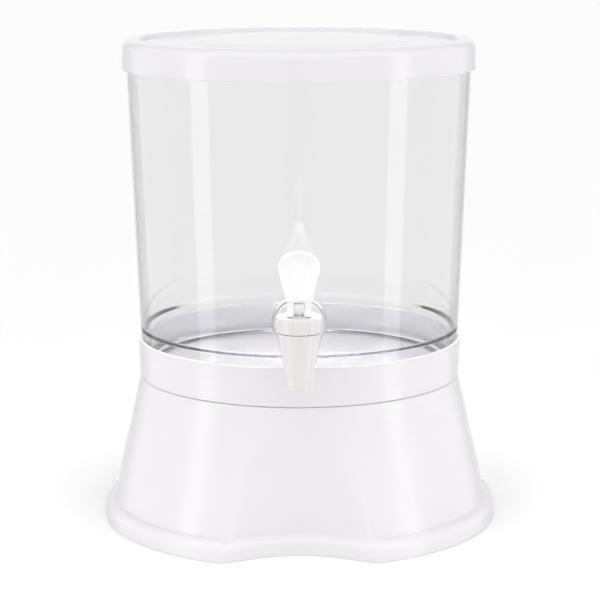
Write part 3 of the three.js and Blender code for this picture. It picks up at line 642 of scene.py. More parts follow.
def solid(name, corners, sides, centre=VESSEL_AXIS, spacing=4 * MM):
    """Revolves corners of (across, up, fillet) that start and end on the axis."""
    outline = rounded(corners, closed=False, spacing=spacing)
    return turned(name, outline, sides, centre=centre, closed=False)


def rod(name, radius, low, high, sides, centre=ORIGIN, spacing=3 * MM):
    """A plain cylinder, from one height to another."""
    corners = [(0, low, 0), (radius, low, 0), (radius, high, 0), (0, high, 0)]
    return solid(name, corners, sides, centre, spacing)


def along_shank(made):
    """Turns a piece made about the upright axis so that its heights run into the tank."""
    into_tank = Matrix.Rotation(-math.pi / 2, 4, "X")
    made.data.transform(Matrix.Translation((0, 0, SHANK_HEIGHT)) @ into_tank)
    return made


# Finishes

def skin_group():
    """Moulded plastic: slow drift of tone, faint flow marks and a fine grain."""
    group = bpy.data.node_groups.new("moulded_skin", "ShaderNodeTree")
    face = group.interface
    for label, kind, value in (
        ("Colour", "Color", (0.8, 0.8, 0.8, 1)), ("Tint", "Color", (0.7, 0.7, 0.72, 1)),
        ("Drift", "Float", 0.1), ("Drift Size", "Float", 12.0), ("Roughness", "Float", 0.2),
        ("Spread", "Float", 0.05), ("Grain Size", "Float", 900.0), ("Grain", "Float", 0.3),
    ):
        socket = face.new_socket(label, in_out="INPUT", socket_type="NodeSocket" + kind)
        socket.default_value = value
    for label, kind in (("Colour", "Color"), ("Roughness", "Float"), ("Height", "Float")):
        face.new_socket(label, in_out="OUTPUT", socket_type="NodeSocket" + kind)
    start = group.nodes.new("NodeGroupInput")
    take = lambda label: Field(group, start.outputs[label])
    place = group.nodes.new("ShaderNodeTexCoord").outputs["Object"]
    drift = add_node(group, "ShaderNodeTexNoise",
                     {"Vector": place, "Scale": take("Drift Size"), "Detail": 3.0})
    grain = add_node(group, "ShaderNodeTexNoise",
                     {"Vector": place, "Scale": take("Grain Size"), "Detail": 2.0})
    amount = Field(group, drift.outputs["Fac"])
    fine = Field(group, grain.outputs["Fac"])
    tone = add_node(group, "ShaderNodeMix", data_type="RGBA")
    group.links.new((take("Drift") * amount).socket, enabled(tone.inputs, "Factor"))
    group.links.new(start.outputs["Colour"], enabled(tone.inputs, "A"))
    group.links.new(start.outputs["Tint"], enabled(tone.inputs, "B"))
    end = group.nodes.new("NodeGroupOutput")
    group.links.new(enabled(tone.outputs, "Result"), end.inputs["Colour"])
    rough = take("Roughness") + take("Spread") * (amount + fine * 0.5 - 0.75)
    group.links.new(rough.socket, end.inputs["Roughness"])
    group.links.new((fine * take("Grain") + amount).socket, end.inputs["Height"])
    return group


def moulded(name, tone, roughness, tint=(0.75, 0.75, 0.78), drift=0.12, spread=0.06,
            drift_size=14.0, grain_size=1100.0, grain=0.25, bump=0.02, coat=0.0):
    """A plastic or rubber whose colour, gloss and skin come from the shared group."""
    material = bpy.data.materials.new(name + FINISH)
    material.use_nodes = True
    tree = material.node_tree
    shader = tree.nodes["Principled BSDF"]
    skin = add_node(tree, "ShaderNodeGroup", node_tree=bpy.data.node_groups["moulded_skin"])
    for label, value in (
        ("Colour", (*tone, 1)), ("Tint", (*(a * b for a, b in zip(tone, tint)), 1)),
        ("Drift", drift), ("Drift Size", drift_size), ("Roughness", roughness),
        ("Spread", spread), ("Grain Size", grain_size), ("Grain", grain),
    ):
        skin.inputs[label].default_value = value
    tree.links.new(skin.outputs["Colour"], shader.inputs["Base Color"])
    tree.links.new(skin.outputs["Roughness"], shader.inputs["Roughness"])
    relief = add_node(tree, "ShaderNodeBump", {"Strength": bump, "Distance": 0.5 * MM})
    tree.links.new(skin.outputs["Height"], relief.inputs["Height"])
    tree.links.new(relief.outputs[0], shader.inputs["Normal"])
    shader.inputs["Coat Weight"].default_value = coat
    material.diffuse_color = (*tone, 1)
    return material


def clear_plastic(name, tint):
    """Clear moulded plastic with faint flow lines in its skin; its depth dims what is behind it."""
    material = moulded(name, (0.99, 0.99, 0.99), 0.03, tint=(0.97, 0.97, 0.98), spread=0.02,
                       drift_size=9, bump=0.03, grain=0.1)
    tree = material.node_tree
    shader = tree.nodes["Principled BSDF"]
    shader.inputs["Transmission Weight"].default_value = 1
    shader.inputs["IOR"].default_value = 1.49
    depth = add_node(tree, "ShaderNodeVolumeAbsorption",
                     {"Color": (*tint, 1), "Density": TANK_DENSITY})
    tree.links.new(depth.outputs[0], tree.nodes["Material Output"].inputs["Volume"])
    return material


def steel(name, tone):
    """Drawn stainless wire."""
    material = moulded(name, tone, 0.28, spread=0.2, grain_size=2600, grain=1, bump=0.05)
    material.node_tree.nodes["Principled BSDF"].inputs["Metallic"].default_value = 1
    return material


def make_finishes(tones):
    moulded("stand_white", tones.stand_white, 0.2)
    moulded("lid_white", tones.lid_white, 0.14)
    moulded("tap_white", tones.tap_white, 0.14, spread=0.03, drift_size=40)
    moulded("lever_white", tones.lever_white, 0.16, drift_size=40)
    clear_plastic("tank_clear", tones.tank_clear)
    moulded("washer_rubber", tones.washer_grey, 0.6, drift=0.3, spread=0.15, grain_size=1800,
            grain=1, bump=0.15)
    moulded("silicone", tones.silicone, 0.45, drift=0.2, grain_size=1500, grain=0.6, bump=0.08)
    moulded("stem_white", tones.stem_white, 0.35, drift_size=50)
    steel("steel", tones.steel)


# Stand

def skirt_outline(size):
    """Outline of the skirt from the floor up its outer face and down its inner face, with each
    point's depth under the skirt's face and under the foot's face."""
    slope = (size.top_radius - size.floor_radius) / size.seam_height
    outer_at = lambda up: size.floor_radius + slope * up
    inner_depth = size.wall / math.cos(size.scoop_lean)
    no_foot = size.foot_radius / 2
    points = []

    def add(radius, up, wall_depth, foot_depth):
        points.append((radius, up, wall_depth, foot_depth))

    edge_foot = size.foot_height - size.foot_edge
    floor_edge = 0.6 * MM
    add(outer_at(0), 0, 0, 2 * floor_edge)
    for across, up in arc((floor_edge, floor_edge), floor_edge, 270, 180, 4):
        add(outer_at(up), up, 0, across)
    rise = edge_foot - floor_edge
    for k in range(1, 6):
        up = floor_edge + rise * k / 6
        add(outer_at(up), up, 0, 0)
    for across, up in arc((size.foot_edge, edge_foot), size.foot_edge, 180, 90, 14):
        add(outer_at(up), up, 0, across)
    steps, crowding = 60, 1.35
    top_edge = 0.7 * MM
    low, high = size.foot_height + 0.2 * MM, size.seam_height - top_edge
    for k in range(steps + 1):
        share_up = k / steps
        up = low + (high - low) * share_up ** crowding
        add(outer_at(up), up, 0, no_foot)
    for across, up in arc((size.top_radius - top_edge, high), top_edge, 0, 90, 4)[1:]:
        add(across, up, top_edge, no_foot)
    shelf_foot = size.seam_height - size.wall
    for across, up in rounded([
        (size.top_radius - 2 * top_edge, size.seam_height, 0),
        (size.shelf_hole, size.seam_height, 0.4 * MM),
        (size.shelf_hole, shelf_foot, 0.4 * MM),
        (outer_at(shelf_foot) - size.wall, shelf_foot, 0),
    ], closed=False):
        add(across, up, inner_depth, no_foot)
    inner_steps = 34
    foot_inner_top = size.foot_height - size.wall
    for k in range(1, inner_steps + 1):
        up = shelf_foot + (foot_inner_top - shelf_foot) * k / inner_steps
        add(outer_at(up) - size.wall, up, inner_depth, no_foot)
    foot_wall = 2.6 * MM
    inner_edge = size.foot_edge - foot_wall
    for across, up in arc((size.foot_edge, edge_foot), inner_edge, 90, 180, 6):
        add(outer_at(up) - size.wall, up, inner_depth, across)
    for k in range(1, 5):
        up = edge_foot * (1 - k / 4)
        add(outer_at(up) - size.wall, up, inner_depth, foot_wall)
    return points


class DISPENSER_OT_skirt(Operator):
    """Makes the flared skirt with its foot flange and the scoop for a cup"""
    bl_idname = "dispenser.skirt"
    bl_label = "Skirt"

    def execute(self, context):
        size = context.scene.dispenser_stand
        points = skirt_outline(size)
        skirt = turned(
            "skirt", [(r, up) for r, up, _, _ in points], 480, tree="turned_with_scoop",
            attributes={"wall_depth": [p[2] for p in points], "foot_depth": [p[3] for p in points]},
            crowding=0.55, scoop_centre=size.scoop_centre, scoop_radius=size.scoop_radius,
            scoop_lean=size.scoop_lean, scoop_growth=size.scoop_growth,
            scoop_softness=size.scoop_softness, foot_radius=size.foot_radius,
            foot_scoop_centre=size.foot_scoop_centre, foot_scoop_radius=size.foot_scoop_radius,
            foot_softness=size.foot_scoop_softness, fillet=size.foot_fillet)
        smooth(skirt)
        fitted(skirt, "stand", "stand_white", "stand_skirt")
        return {"FINISHED"}


def gusset_tree():
    """Stands copies of a web, the object's own mesh, round an axis, and trims them by the cone
    of the scoop."""
    tree, start = new_geometry_tree("gusset_ring", (
        ("Gussets", "Int"), ("Centre", "Vector"), ("Cone Place", "Vector"), ("Cone Foot", "Float"),
        ("Cone Top", "Float"), ("Cone Height", "Float"), ("Cone Lean", "Vector")))
    take = lambda label: Field(tree, start.outputs[label])
    posts = add_node(tree, "GeometryNodePoints", {"Count": start.outputs["Gussets"]})
    index = Field(tree, add_node(tree, "GeometryNodeInputIndex").outputs[0])
    turn = add_node(tree, "ShaderNodeCombineXYZ", {"Z": (index + 0.5) * math.tau / take("Gussets")})
    facing = add_node(tree, "FunctionNodeEulerToRotation", {"Euler": turn.outputs[0]})
    webs = add_node(tree, "GeometryNodeInstanceOnPoints", {
        "Points": posts.outputs[0], "Instance": start.outputs["Geometry"],
        "Rotation": facing.outputs[0]})
    placed = add_node(tree, "GeometryNodeTransform", {
        "Geometry": webs.outputs[0], "Translation": start.outputs["Centre"]})
    solid = add_node(tree, "GeometryNodeRealizeInstances", {"Geometry": placed.outputs[0]})
    cone = add_node(tree, "GeometryNodeMeshCone", {
        "Vertices": 240, "Radius Top": take("Cone Top"), "Radius Bottom": take("Cone Foot"),
        "Depth": take("Cone Height")})
    leaning = add_node(tree, "GeometryNodeTransform", {
        "Geometry": cone.outputs["Mesh"], "Translation": start.outputs["Cone Place"],
        "Rotation": start.outputs["Cone Lean"]})
    cut = add_node(tree, "GeometryNodeMeshBoolean", operation="DIFFERENCE", solver="EXACT")
    tree.links.new(solid.outputs[0], enabled(cut.inputs, "Mesh 1"))
    tree.links.new(leaning.outputs[0], enabled(cut.inputs, "Mesh 2"))
    return end_geometry_tree(tree, start, cut.outputs["Mesh"])


class DISPENSER_OT_gussets(Operator):
    """Makes the webs that brace the skirt's shelf from below"""
    bl_idname = "dispenser.gussets"
    bl_label = "Gussets"

    def execute(self, context):
        size = context.scene.dispenser_stand
        slope = (size.top_radius - size.floor_radius) / size.seam_height
        top = size.seam_height - size.wall / 2
        low = top - size.gusset_depth
        inner = size.shelf_hole + size.spigot_wall
        middle_of_wall = lambda up: size.floor_radius + slope * up - size.wall / 2
        web = extruded("gussets", [
            (inner, top), (inner, top - size.wall), (middle_of_wall(low), low),
            (middle_of_wall(top), top),
        ], size.gusset_width)
        web.data.transform(Matrix.Rotation(-math.pi / 2, 4, "Z"))
        bevelled(web, 0.4 * MM)
        cone_foot = size.scoop_radius + size.wall / math.cos(size.scoop_lean)
        cone_height = 150 * MM
        apply_tree(
            web, bpy.data.node_groups["gusset_ring"], gussets=size.gussets, centre=VESSEL_AXIS,
            cone_place=VESSEL_AXIS - Vector((0, size.scoop_centre, 0)), cone_foot=cone_foot,
            cone_top=cone_foot + size.scoop_growth * cone_height, cone_height=cone_height,
            cone_lean=(size.scoop_lean, 0, 0))
        smooth(web)
        fitted(web, "stand", "stand_white")
        return {"FINISHED"}


class DISPENSER_OT_collar(Operator):
    """Makes the collar that holds the tank"""
    bl_idname = "dispenser.collar"
    bl_label = "Collar"

    def execute(self, context):
        size, tank = context.scene.dispenser_stand, context.scene.dispenser_tank
        foot, rim, low = size.seam_height + FIT_GAP, COLLAR_HIGH.z, COLLAR_LOW.z
        deck_top = foot + size.deck
        hole = size.shelf_hole - FIT_GAP
        seat = lambda up: tank_radius(tank, up) + FIT_GAP
        edge = size.collar_edge
        bead, reach = size.bead_height, size.bead_reach
        bead_top = size.seam_height - size.wall - FIT_GAP
        collar = solid("collar", [
            (0, foot, 0),
            (hole - size.spigot_wall, foot, 0.5 * MM),
            (hole - size.spigot_wall, low, reach / 2),
            (hole - reach / 2, low, reach / 2),
            (hole, low + reach, reach / 2),
            (hole, bead_top - bead, reach / 4),
            (hole + reach, bead_top - bead / 2, reach / 4),
            (hole + reach, bead_top, reach / 4),
            (hole, bead_top, 0),
            (hole, foot, 0),
            (size.collar_seam_radius, foot, edge),
            (size.collar_rim_radius, rim, edge),
            (seat(rim), rim, edge / 2),
            (seat(deck_top), deck_top, edge),
            (0, deck_top, 0),
        ], sides=320, spacing=8 * MM)
        smooth(collar)
        fitted(collar, "stand", "stand_white", "stand_collar")
        return {"FINISHED"}


# Tank and lid

def tank_radius(size, up):
    return size.rim_radius - (TANK_HIGH.z - up) * math.tan(size.taper)


class DISPENSER_OT_tank(Operator):
    """Makes the clear tank with its boss and the hole for the tap"""
    bl_idname = "dispenser.tank"
    bl_label = "Tank"

    def execute(self, context):
        size = context.scene.dispenser_tank
        foot, rim = TANK_LOW.z, TANK_HIGH.z
        inner = lambda up: tank_radius(size, up) - size.wall
        floor_foot = foot + size.floor_rise
        floor_top = floor_foot + size.floor
        ring = tank_radius(size, foot) - size.foot_edge
        thick = lambda up: inner(up) - size.step_width
        tank = solid("tank", [
            (0, floor_foot, 0),
            (ring - size.foot_ring, floor_foot, 0.8 * MM),
            (ring - size.foot_ring, foot, 0.6 * MM),
            (ring, foot, 0.6 * MM),
            (tank_radius(size, foot + size.foot_edge), foot + size.foot_edge, 1.2 * MM),
            (size.rim_radius, rim, size.wall * 0.49),
            (inner(rim), rim, size.wall * 0.49),
            (inner(size.step_height), size.step_height, 1 * MM),
            (thick(size.step_height - size.step_width), size.step_height - size.step_width, 1 * MM),
            (thick(floor_top), floor_top, size.heel),
            (0, floor_top, 0),
        ], sides=256, spacing=8 * MM)
        face = TANK_FACE
        boss = along_shank(solid("boss", [
            (0, face, 0), (size.boss_radius, face, 0.4 * MM),
            (size.boss_radius, face + size.boss_depth, 0.6 * MM), (0, face + size.boss_depth, 0),
        ], sides=96, centre=ORIGIN))
        hole = along_shank(rod("hole", size.hole_radius, face - size.wall,
                               face + 2 * size.boss_depth, sides=96, spacing=4 * MM))
        combined(tank, "UNION", boss)
        combined(tank, "DIFFERENCE", hole)
        smooth(tank)
        fitted(tank, "tank", "tank_clear", "tank")
        return {"FINISHED"}


class DISPENSER_OT_lid(Operator):
    """Makes the lid with its ridge, groove and raised middle"""
    bl_idname = "dispenser.lid"
    bl_label = "Lid"

    def execute(self, context):
        size = context.scene.dispenser_lid
        foot = LID_LOW.z
        top = LID_HIGH.z - size.gate_height + size.panel_drop - size.plateau_rise - size.crown
        shoulder = size.radius - size.draft
        ridge_inner = shoulder - size.edge - size.ridge
        panel_top = top - size.panel_drop
        panel_edge = ridge_inner - size.groove
        panel_foot = panel_top - size.panel
        plateau = panel_top + size.plateau_rise
        crown = plateau + size.crown
        ridge_wall = 2.8 * MM
        rim_foot = top - ridge_wall
        plug_foot = panel_foot - size.plug_depth
        slope_foot = size.plateau_radius + size.plateau_slope
        crown_at = lambda r: crown - size.crown * (r / size.plateau_radius) ** 2
        domed = [(r * MM, crown_at(r * MM), 0)
                 for r in range(12, round(size.plateau_radius / MM) - 6, 6)]
        lid = solid("lid", [
            (0, crown + size.gate_height, 0),
            (size.gate_radius, crown + size.gate_height, 0.3 * MM),
            (size.gate_radius + 0.3 * MM, crown, 0.3 * MM),
            *domed,
            (size.plateau_radius, plateau, 6 * MM),
            (slope_foot, panel_top, 6 * MM),
            (panel_edge, panel_top, 0.8 * MM),
            (panel_edge + size.groove * 0.35, panel_top - size.groove_depth, 0.6 * MM),
            (panel_edge + size.groove * 0.75, panel_top - size.groove_depth, 0.6 * MM),
            (ridge_inner + 0.6 * MM, top, 1.3 * MM),
            (shoulder, top, size.edge),
            (size.radius, foot, 0.5 * MM),
            (size.radius - size.wall, foot, 0.5 * MM),
            (shoulder - size.wall, rim_foot, 1 * MM),
            (size.plug_radius, rim_foot, 0.5 * MM),
            (size.plug_radius, plug_foot, 0.6 * MM),
            (size.plug_radius - size.plug_wall, plug_foot, 0.6 * MM),
            (size.plug_radius - size.plug_wall, panel_foot - size.groove_depth, 0.8 * MM),
            (slope_foot, panel_foot - size.groove_depth, 4 * MM),
            (size.plateau_radius, plateau - size.panel, 4 * MM),
            (0, crown - size.panel, 0),
        ][::-1], sides=360, spacing=5 * MM)
        smooth(lid)
        fitted(lid, "lid", "lid_white", "lid")
        return {"FINISHED"}


# Tap: what goes round the shank

TANK_FACE = OUTER_WASHER_HIGH.y + FIT_GAP
FLANGE_FACE = OUTER_WASHER_LOW.y - FIT_GAP


def shank_ring(name, inner, outer, start, end, edge):
    outline = rounded([(inner, start, edge / 2), (outer, start, edge), (outer, end, edge),
                       (inner, end, edge / 2)], spacing=1.5 * MM)
    return smooth(along_shank(turned(name, outline, 128, centre=ORIGIN)))


class DISPENSER_OT_washers(Operator):
    """Makes the rubber washers on both sides of the tank's wall"""
    bl_idname = "dispenser.washers"
    bl_label = "Washers"

    def execute(self, context):
        size = context.scene.dispenser_tap
        inner = size.shank_radius + FIT_GAP
        for name, node, outer, low, high in (
            ("outer_washer", "tap_outer_washer", size.washer_radius, OUTER_WASHER_LOW,
             OUTER_WASHER_HIGH),
            ("inner_washer", "tap_inner_washer", size.inner_washer_radius, INNER_WASHER_LOW,
             INNER_WASHER_HIGH),
        ):
            ring = shank_ring(name, inner, outer, low.y, high.y, (high.y - low.y) * 0.4)
            fitted(ring, "tank", "washer_rubber", node)
        return {"FINISHED"}


class DISPENSER_OT_nut(Operator):
    """Makes the plastic nut that holds the tap inside the tank"""
    bl_idname = "dispenser.nut"
    bl_label = "Shank nut"

    def execute(self, context):
        size = context.scene.dispenser_tap
        bore = size.shank_radius + FIT_GAP
        start, end = NUT_LOW.y, NUT_HIGH.y
        collar_end = start + size.nut_collar_width
        corner = size.nut_flats / 2 / math.cos(math.pi / 6)
        outline = rounded([
            (bore, start, 0.4 * MM), (size.nut_collar, start, 0.4 * MM),
            (size.nut_collar, collar_end, 0.4 * MM), (corner, collar_end, 0.2 * MM),
            (corner, end - 0.8 * MM, 0.3 * MM), (corner - 1.4 * MM, end, 0.3 * MM),
            (bore, end, 0.6 * MM),
        ], spacing=1.2 * MM)
        inside = [0.0 if up > collar_end + 0.01 * MM and r > bore + 1 * MM else 1.0
                  for r, up in outline]
        nut = turned("shank_nut", outline, 192, centre=ORIGIN, tree="turned_with_flats",
                     attributes={"inside": inside}, half_width=size.nut_flats / 2,
                     softness=0.5 * MM)
        smooth(along_shank(nut))
        fitted(nut, "tank", "tap_white", "tap_shank_nut")
        return {"FINISHED"}


class DISPENSER_OT_tap_body(Operator):
    """Makes the tap's body: flange, threaded shank, neck, valve chamber and spout"""
    bl_idname = "dispenser.tap_body"
    bl_label = "Tap body"

    def execute(self, context):
        size = context.scene.dispenser_tap
        back, face, end = FLANGE_FACE, FLANGE_FACE - size.flange, BODY_HIGH.y
        thread = rounded([
            (0, back - size.flange / 2, 0), (size.shank_radius, back - size.flange / 2, 0),
            (size.shank_radius, end - 1 * MM, 0.3 * MM),
            (size.shank_radius - 1 * MM, end, 0.3 * MM),
            (0, end, 0),
        ], closed=False, spacing=0.19 * MM, hold=0.1 * MM)
        plain_end = back + 4 * MM
        on_face = size.shank_radius - 0.2 * MM
        cut = [size.thread_depth * min(1, max(0, (up - plain_end) / MM)) if r > on_face else 0.0
               for r, up in thread]
        body = along_shank(turned("tap_body", thread, 96, centre=ORIGIN, closed=False,
                                  tree="turned_with_thread", attributes={"thread_depth": cut},
                                  pitch=size.thread_pitch))
        flange = along_shank(solid("flange", [
            (0, face, 0), (size.flange_radius, face, 1.1 * MM),
            (size.flange_radius, back, 0.3 * MM), (0, back, 0),
        ], sides=128, centre=ORIGIN, spacing=2 * MM))
        overlap = 2 * MM
        neck = along_shank(rod("neck", size.neck_radius, PIVOT.y, face + overlap / 4, sides=96,
                               spacing=2 * MM))
        neck.data.transform(Matrix.Translation((0, 0, -size.neck_drop)))
        tip, shoulder, top = BODY_LOW.z, BONNET_LOW.z - 0.5 * MM, SEAL_LOW.z - FIT_GAP
        barrel = solid("barrel", [
            (0, tip, 0), (size.tip_radius, tip, size.tip_edge),
            (size.barrel_radius, shoulder, 0.5 * MM), (size.barrel_neck, shoulder, 0),
            (size.barrel_neck, top, 0.4 * MM), (0, top, 0),
        ], sides=128, centre=VALVE_AXIS, spacing=2 * MM)
        chamber = solid("chamber", [
            (0, size.seat_height, 0), (size.chamber_radius, size.seat_height, 0.5 * MM),
            (size.chamber_radius, top + overlap, 0), (0, top + overlap, 0),
        ], sides=96, centre=VALVE_AXIS, spacing=3 * MM)
        outlet = rod("outlet", size.outlet_radius, tip - overlap, size.seat_height + overlap,
                     sides=96, centre=VALVE_AXIS)
        bore = along_shank(rod("bore", size.bore_radius, face + overlap / 2, end + overlap,
                               sides=64))
        neck_bore = along_shank(rod("neck_bore", size.bore_radius, PIVOT.y, back, sides=64))
        neck_bore.data.transform(Matrix.Translation((0, 0, -size.neck_bore_drop)))
        for tool in (flange, neck, barrel):
            combined(body, "UNION", tool)
        for tool in (chamber, outlet, bore, neck_bore):
            combined(body, "DIFFERENCE", tool)
        smooth(body)
        fitted(body, "tank", "tap_white", "tap_body")
        return {"FINISHED"}


def groove_tree():
    """Cuts grooves round a cap: cutters on a ring of points, taken away from the object."""
    tree, start = new_geometry_tree("grip_grooves", (
        ("Grooves", "Int"), ("Groove Radius", "Float"), ("Ring Radius", "Float"),
        ("Height", "Float"), ("Foot", "Float"), ("Phase", "Float"), ("Centre", "Vector")))
    take = lambda label: Field(tree, start.outputs[label])
    ring = add_node(tree, "GeometryNodeMeshCircle",
                    {"Vertices": start.outputs["Grooves"], "Radius": start.outputs["Ring Radius"]})
    stick = add_node(tree, "GeometryNodeMeshCylinder", {
        "Vertices": 16, "Radius": start.outputs["Groove Radius"],
        "Depth": start.outputs["Height"]})
    ball = add_node(tree, "GeometryNodeMeshUVSphere", {
        "Segments": 16, "Rings": 10, "Radius": start.outputs["Groove Radius"]})
    half = add_node(tree, "ShaderNodeCombineXYZ", {"Z": take("Height") / 2})
    raised = add_node(tree, "GeometryNodeTransform",
                      {"Geometry": ball.outputs["Mesh"], "Translation": half.outputs[0]})
    cutter = add_node(tree, "GeometryNodeMeshBoolean", operation="UNION", solver="EXACT")
    tree.links.new(stick.outputs["Mesh"], enabled(cutter.inputs, "Mesh"))
    tree.links.new(raised.outputs[0], enabled(cutter.inputs, "Mesh"))
    around = add_node(tree, "GeometryNodeInstanceOnPoints",
                      {"Points": ring.outputs["Mesh"], "Instance": cutter.outputs["Mesh"]})
    level = add_node(tree, "ShaderNodeCombineXYZ", {"Z": take("Foot") + take("Height") / 2})
    shift = add_node(tree, "ShaderNodeVectorMath", operation="ADD")
    tree.links.new(level.outputs[0], shift.inputs[0])
    tree.links.new(start.outputs["Centre"], shift.inputs[1])
    spin = add_node(tree, "ShaderNodeCombineXYZ", {"Z": take("Phase")})
    placed = add_node(tree, "GeometryNodeTransform", {
        "Geometry": around.outputs[0], "Translation": shift.outputs[0],
        "Rotation": spin.outputs[0]})
    solid = add_node(tree, "GeometryNodeRealizeInstances", {"Geometry": placed.outputs[0]})
    cut = add_node(tree, "GeometryNodeMeshBoolean", operation="DIFFERENCE", solver="EXACT")
    tree.links.new(start.outputs["Geometry"], enabled(cut.inputs, "Mesh 1"))
    tree.links.new(solid.outputs[0], enabled(cut.inputs, "Mesh 2"))
    return end_geometry_tree(tree, start, cut.outputs["Mesh"])


class DISPENSER_OT_bonnet(Operator):
    """Makes the bonnet with its grip grooves, and the seal under it"""
    bl_idname = "dispenser.bonnet"
    bl_label = "Bonnet and seal"

    def execute(self, context):
        size, valve = context.scene.dispenser_tap, context.scene.dispenser_valve
        lip, top, ceiling = BONNET_LOW.z, BONNET_HIGH.z, SEAL_HIGH.z + FIT_GAP
        bonnet = turned("bonnet", rounded([
            (size.bonnet_bore, lip, 0.3 * MM), (size.bonnet_radius, lip, 0.45 * MM),
            (size.bonnet_radius, top, size.bonnet_edge), (size.bonnet_hole, top, 0.4 * MM),
            (size.bonnet_hole, ceiling, 0.2 * MM), (size.bonnet_bore, ceiling, 0.4 * MM),
        ], spacing=1.5 * MM, hold=0.25 * MM, turn=9), 180, centre=VALVE_AXIS)
        apply_tree(
            bonnet, bpy.data.node_groups["grip_grooves"], grooves=size.grips,
            groove_radius=size.grip_radius,
            ring_radius=size.bonnet_radius + size.grip_radius - size.grip_depth,
            height=top - size.grip_margin - size.grip_radius - lip + 2 * MM, foot=lip - 2 * MM,
            phase=size.grip_phase - math.pi / 2, centre=VALVE_AXIS)
        smooth(bonnet)
        fitted(bonnet, "tank", "tap_white", "tap_bonnet")
        bore = valve.stem_radius + FIT_GAP
        seal = turned("bonnet_seal", rounded([
            (bore, SEAL_LOW.z, 0.2 * MM), (size.seal_radius, SEAL_LOW.z, 0.3 * MM),
            (size.seal_radius, SEAL_HIGH.z, 0.3 * MM), (bore, SEAL_HIGH.z, 0.2 * MM),
        ], spacing=2 * MM), 96, centre=VALVE_AXIS)
        smooth(seal)
        fitted(seal, "tank", "silicone", "tap_bonnet_seal")
        return {"FINISHED"}


# Tap: stem, cup, spring, pin and lever

class DISPENSER_OT_stem(Operator):
    """Makes the stem with its flat head and the silicone cup on its barb"""
    bl_idname = "dispenser.stem"
    bl_label = "Stem and seat cup"

    def execute(self, context):
        size = context.scene.dispenser_valve
        cup_foot, cup_top = CUP_LOW.z, CUP_HIGH.z
        barb_foot = cup_foot + size.cup_floor
        barb_top = barb_foot + size.barb_height
        seat_foot = cup_top + FIT_GAP
        seat_top = seat_foot + size.seat_thickness
        tongue_foot = BONNET_HIGH.z + size.tongue_foot
        stem = solid("stem", [
            (0, barb_foot + FIT_GAP, 0), (size.barb_radius / 2, barb_foot + FIT_GAP, 0.3 * MM),
            (size.barb_radius, barb_top - FIT_GAP, 0.2 * MM),
            (size.stem_radius, barb_top - FIT_GAP, 0.2 * MM),
            (size.stem_radius, seat_foot, 0.2 * MM),
            (size.seat_radius, seat_foot, 0.3 * MM), (size.seat_radius, seat_top, 0.3 * MM),
            (size.stem_radius, seat_top, 0.3 * MM),
            (size.stem_radius, tongue_foot + size.tongue_foot, 0),
            (0, tongue_foot + size.tongue_foot, 0),
        ], sides=64, centre=VALVE_AXIS, spacing=2 * MM)
        side = [(-size.tongue_radius, tongue_foot), (size.tongue_radius, tongue_foot),
                *arc((0, PIVOT.z), size.tongue_radius, 0, 180, 24)]
        head = extruded("head", side, size.tongue_width)
        head.data.transform(Matrix.Translation(VALVE_AXIS))
        bevelled(head, 0.35 * MM)
        hole = pin_solid("pin_hole", size.pin_radius + FIT_GAP, size.tongue_width)
        combined(stem, "UNION", head)
        combined(stem, "DIFFERENCE", hole)
        smooth(stem)
        fitted(stem, "stem", "stem_white", "tap_stem")
        throat, pocket = size.stem_radius + FIT_GAP, size.barb_radius + FIT_GAP
        cup = solid("seat_cup", [
            (0, cup_foot, 0), (size.cup_radius, cup_foot, size.cup_edge),
            (size.cup_radius, cup_top, size.cup_edge), (throat, cup_top, 0.3 * MM),
            (throat, barb_top, 0), (pocket, barb_top, 0.2 * MM), (pocket, barb_foot, 0.3 * MM),
            (0, barb_foot, 0),
        ], sides=96, centre=VALVE_AXIS, spacing=1.5 * MM)
        smooth(cup)
        fitted(cup, "stem", "silicone", "tap_seat_cup")
        return {"FINISHED"}


def spring_tree():
    """A wire wound along the object's own curve of points."""
    tree, start = new_geometry_tree("wound_wire", (("Wire Radius", "Float"), ("Wire Sides", "Int")))
    path = add_node(tree, "GeometryNodeMeshToCurve", {"Mesh": start.outputs["Geometry"]})
    section = add_node(tree, "GeometryNodeCurvePrimitiveCircle", {
        "Resolution": start.outputs["Wire Sides"], "Radius": start.outputs["Wire Radius"]})
    wire = add_node(tree, "GeometryNodeCurveToMesh", {
        "Curve": path.outputs["Curve"], "Profile Curve": section.outputs["Curve"],
        "Fill Caps": True})
    return end_geometry_tree(tree, start, wire.outputs["Mesh"])


class DISPENSER_OT_spring(Operator):
    """Winds the return spring round the stem"""
    bl_idname = "dispenser.spring"
    bl_label = "Return spring"

    def execute(self, context):
        size = context.scene.dispenser_valve
        low, high = SPRING_LOW.z + size.wire_radius, SPRING_HIGH.z - size.wire_radius
        flat = 2 * size.wire_radius + FIT_GAP
        climb = (high - low - 2 * flat) / (size.turns - 2)
        per_turn = 40
        points = []
        for i in range(size.turns * per_turn + 1):
            turn = i / per_turn
            up = low + flat + (turn - 1) * climb
            if turn < 1:
                up = low + flat * turn
            if turn > size.turns - 1:
                up = high - flat * (size.turns - turn)
            around = turn * math.tau
            points.append(VALVE_AXIS + Vector((size.spring_radius * math.cos(around),
                                               size.spring_radius * math.sin(around), up)))
        edges = [(i, i + 1) for i in range(len(points) - 1)]
        spring = mesh_object("spring", points, edges)
        apply_tree(spring, bpy.data.node_groups["wound_wire"], wire_radius=size.wire_radius,
                   wire_sides=12)
        smooth(spring, 50)
        fitted(spring, "tank", "steel", "tap_spring")
        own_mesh(spring)
        return {"FINISHED"}


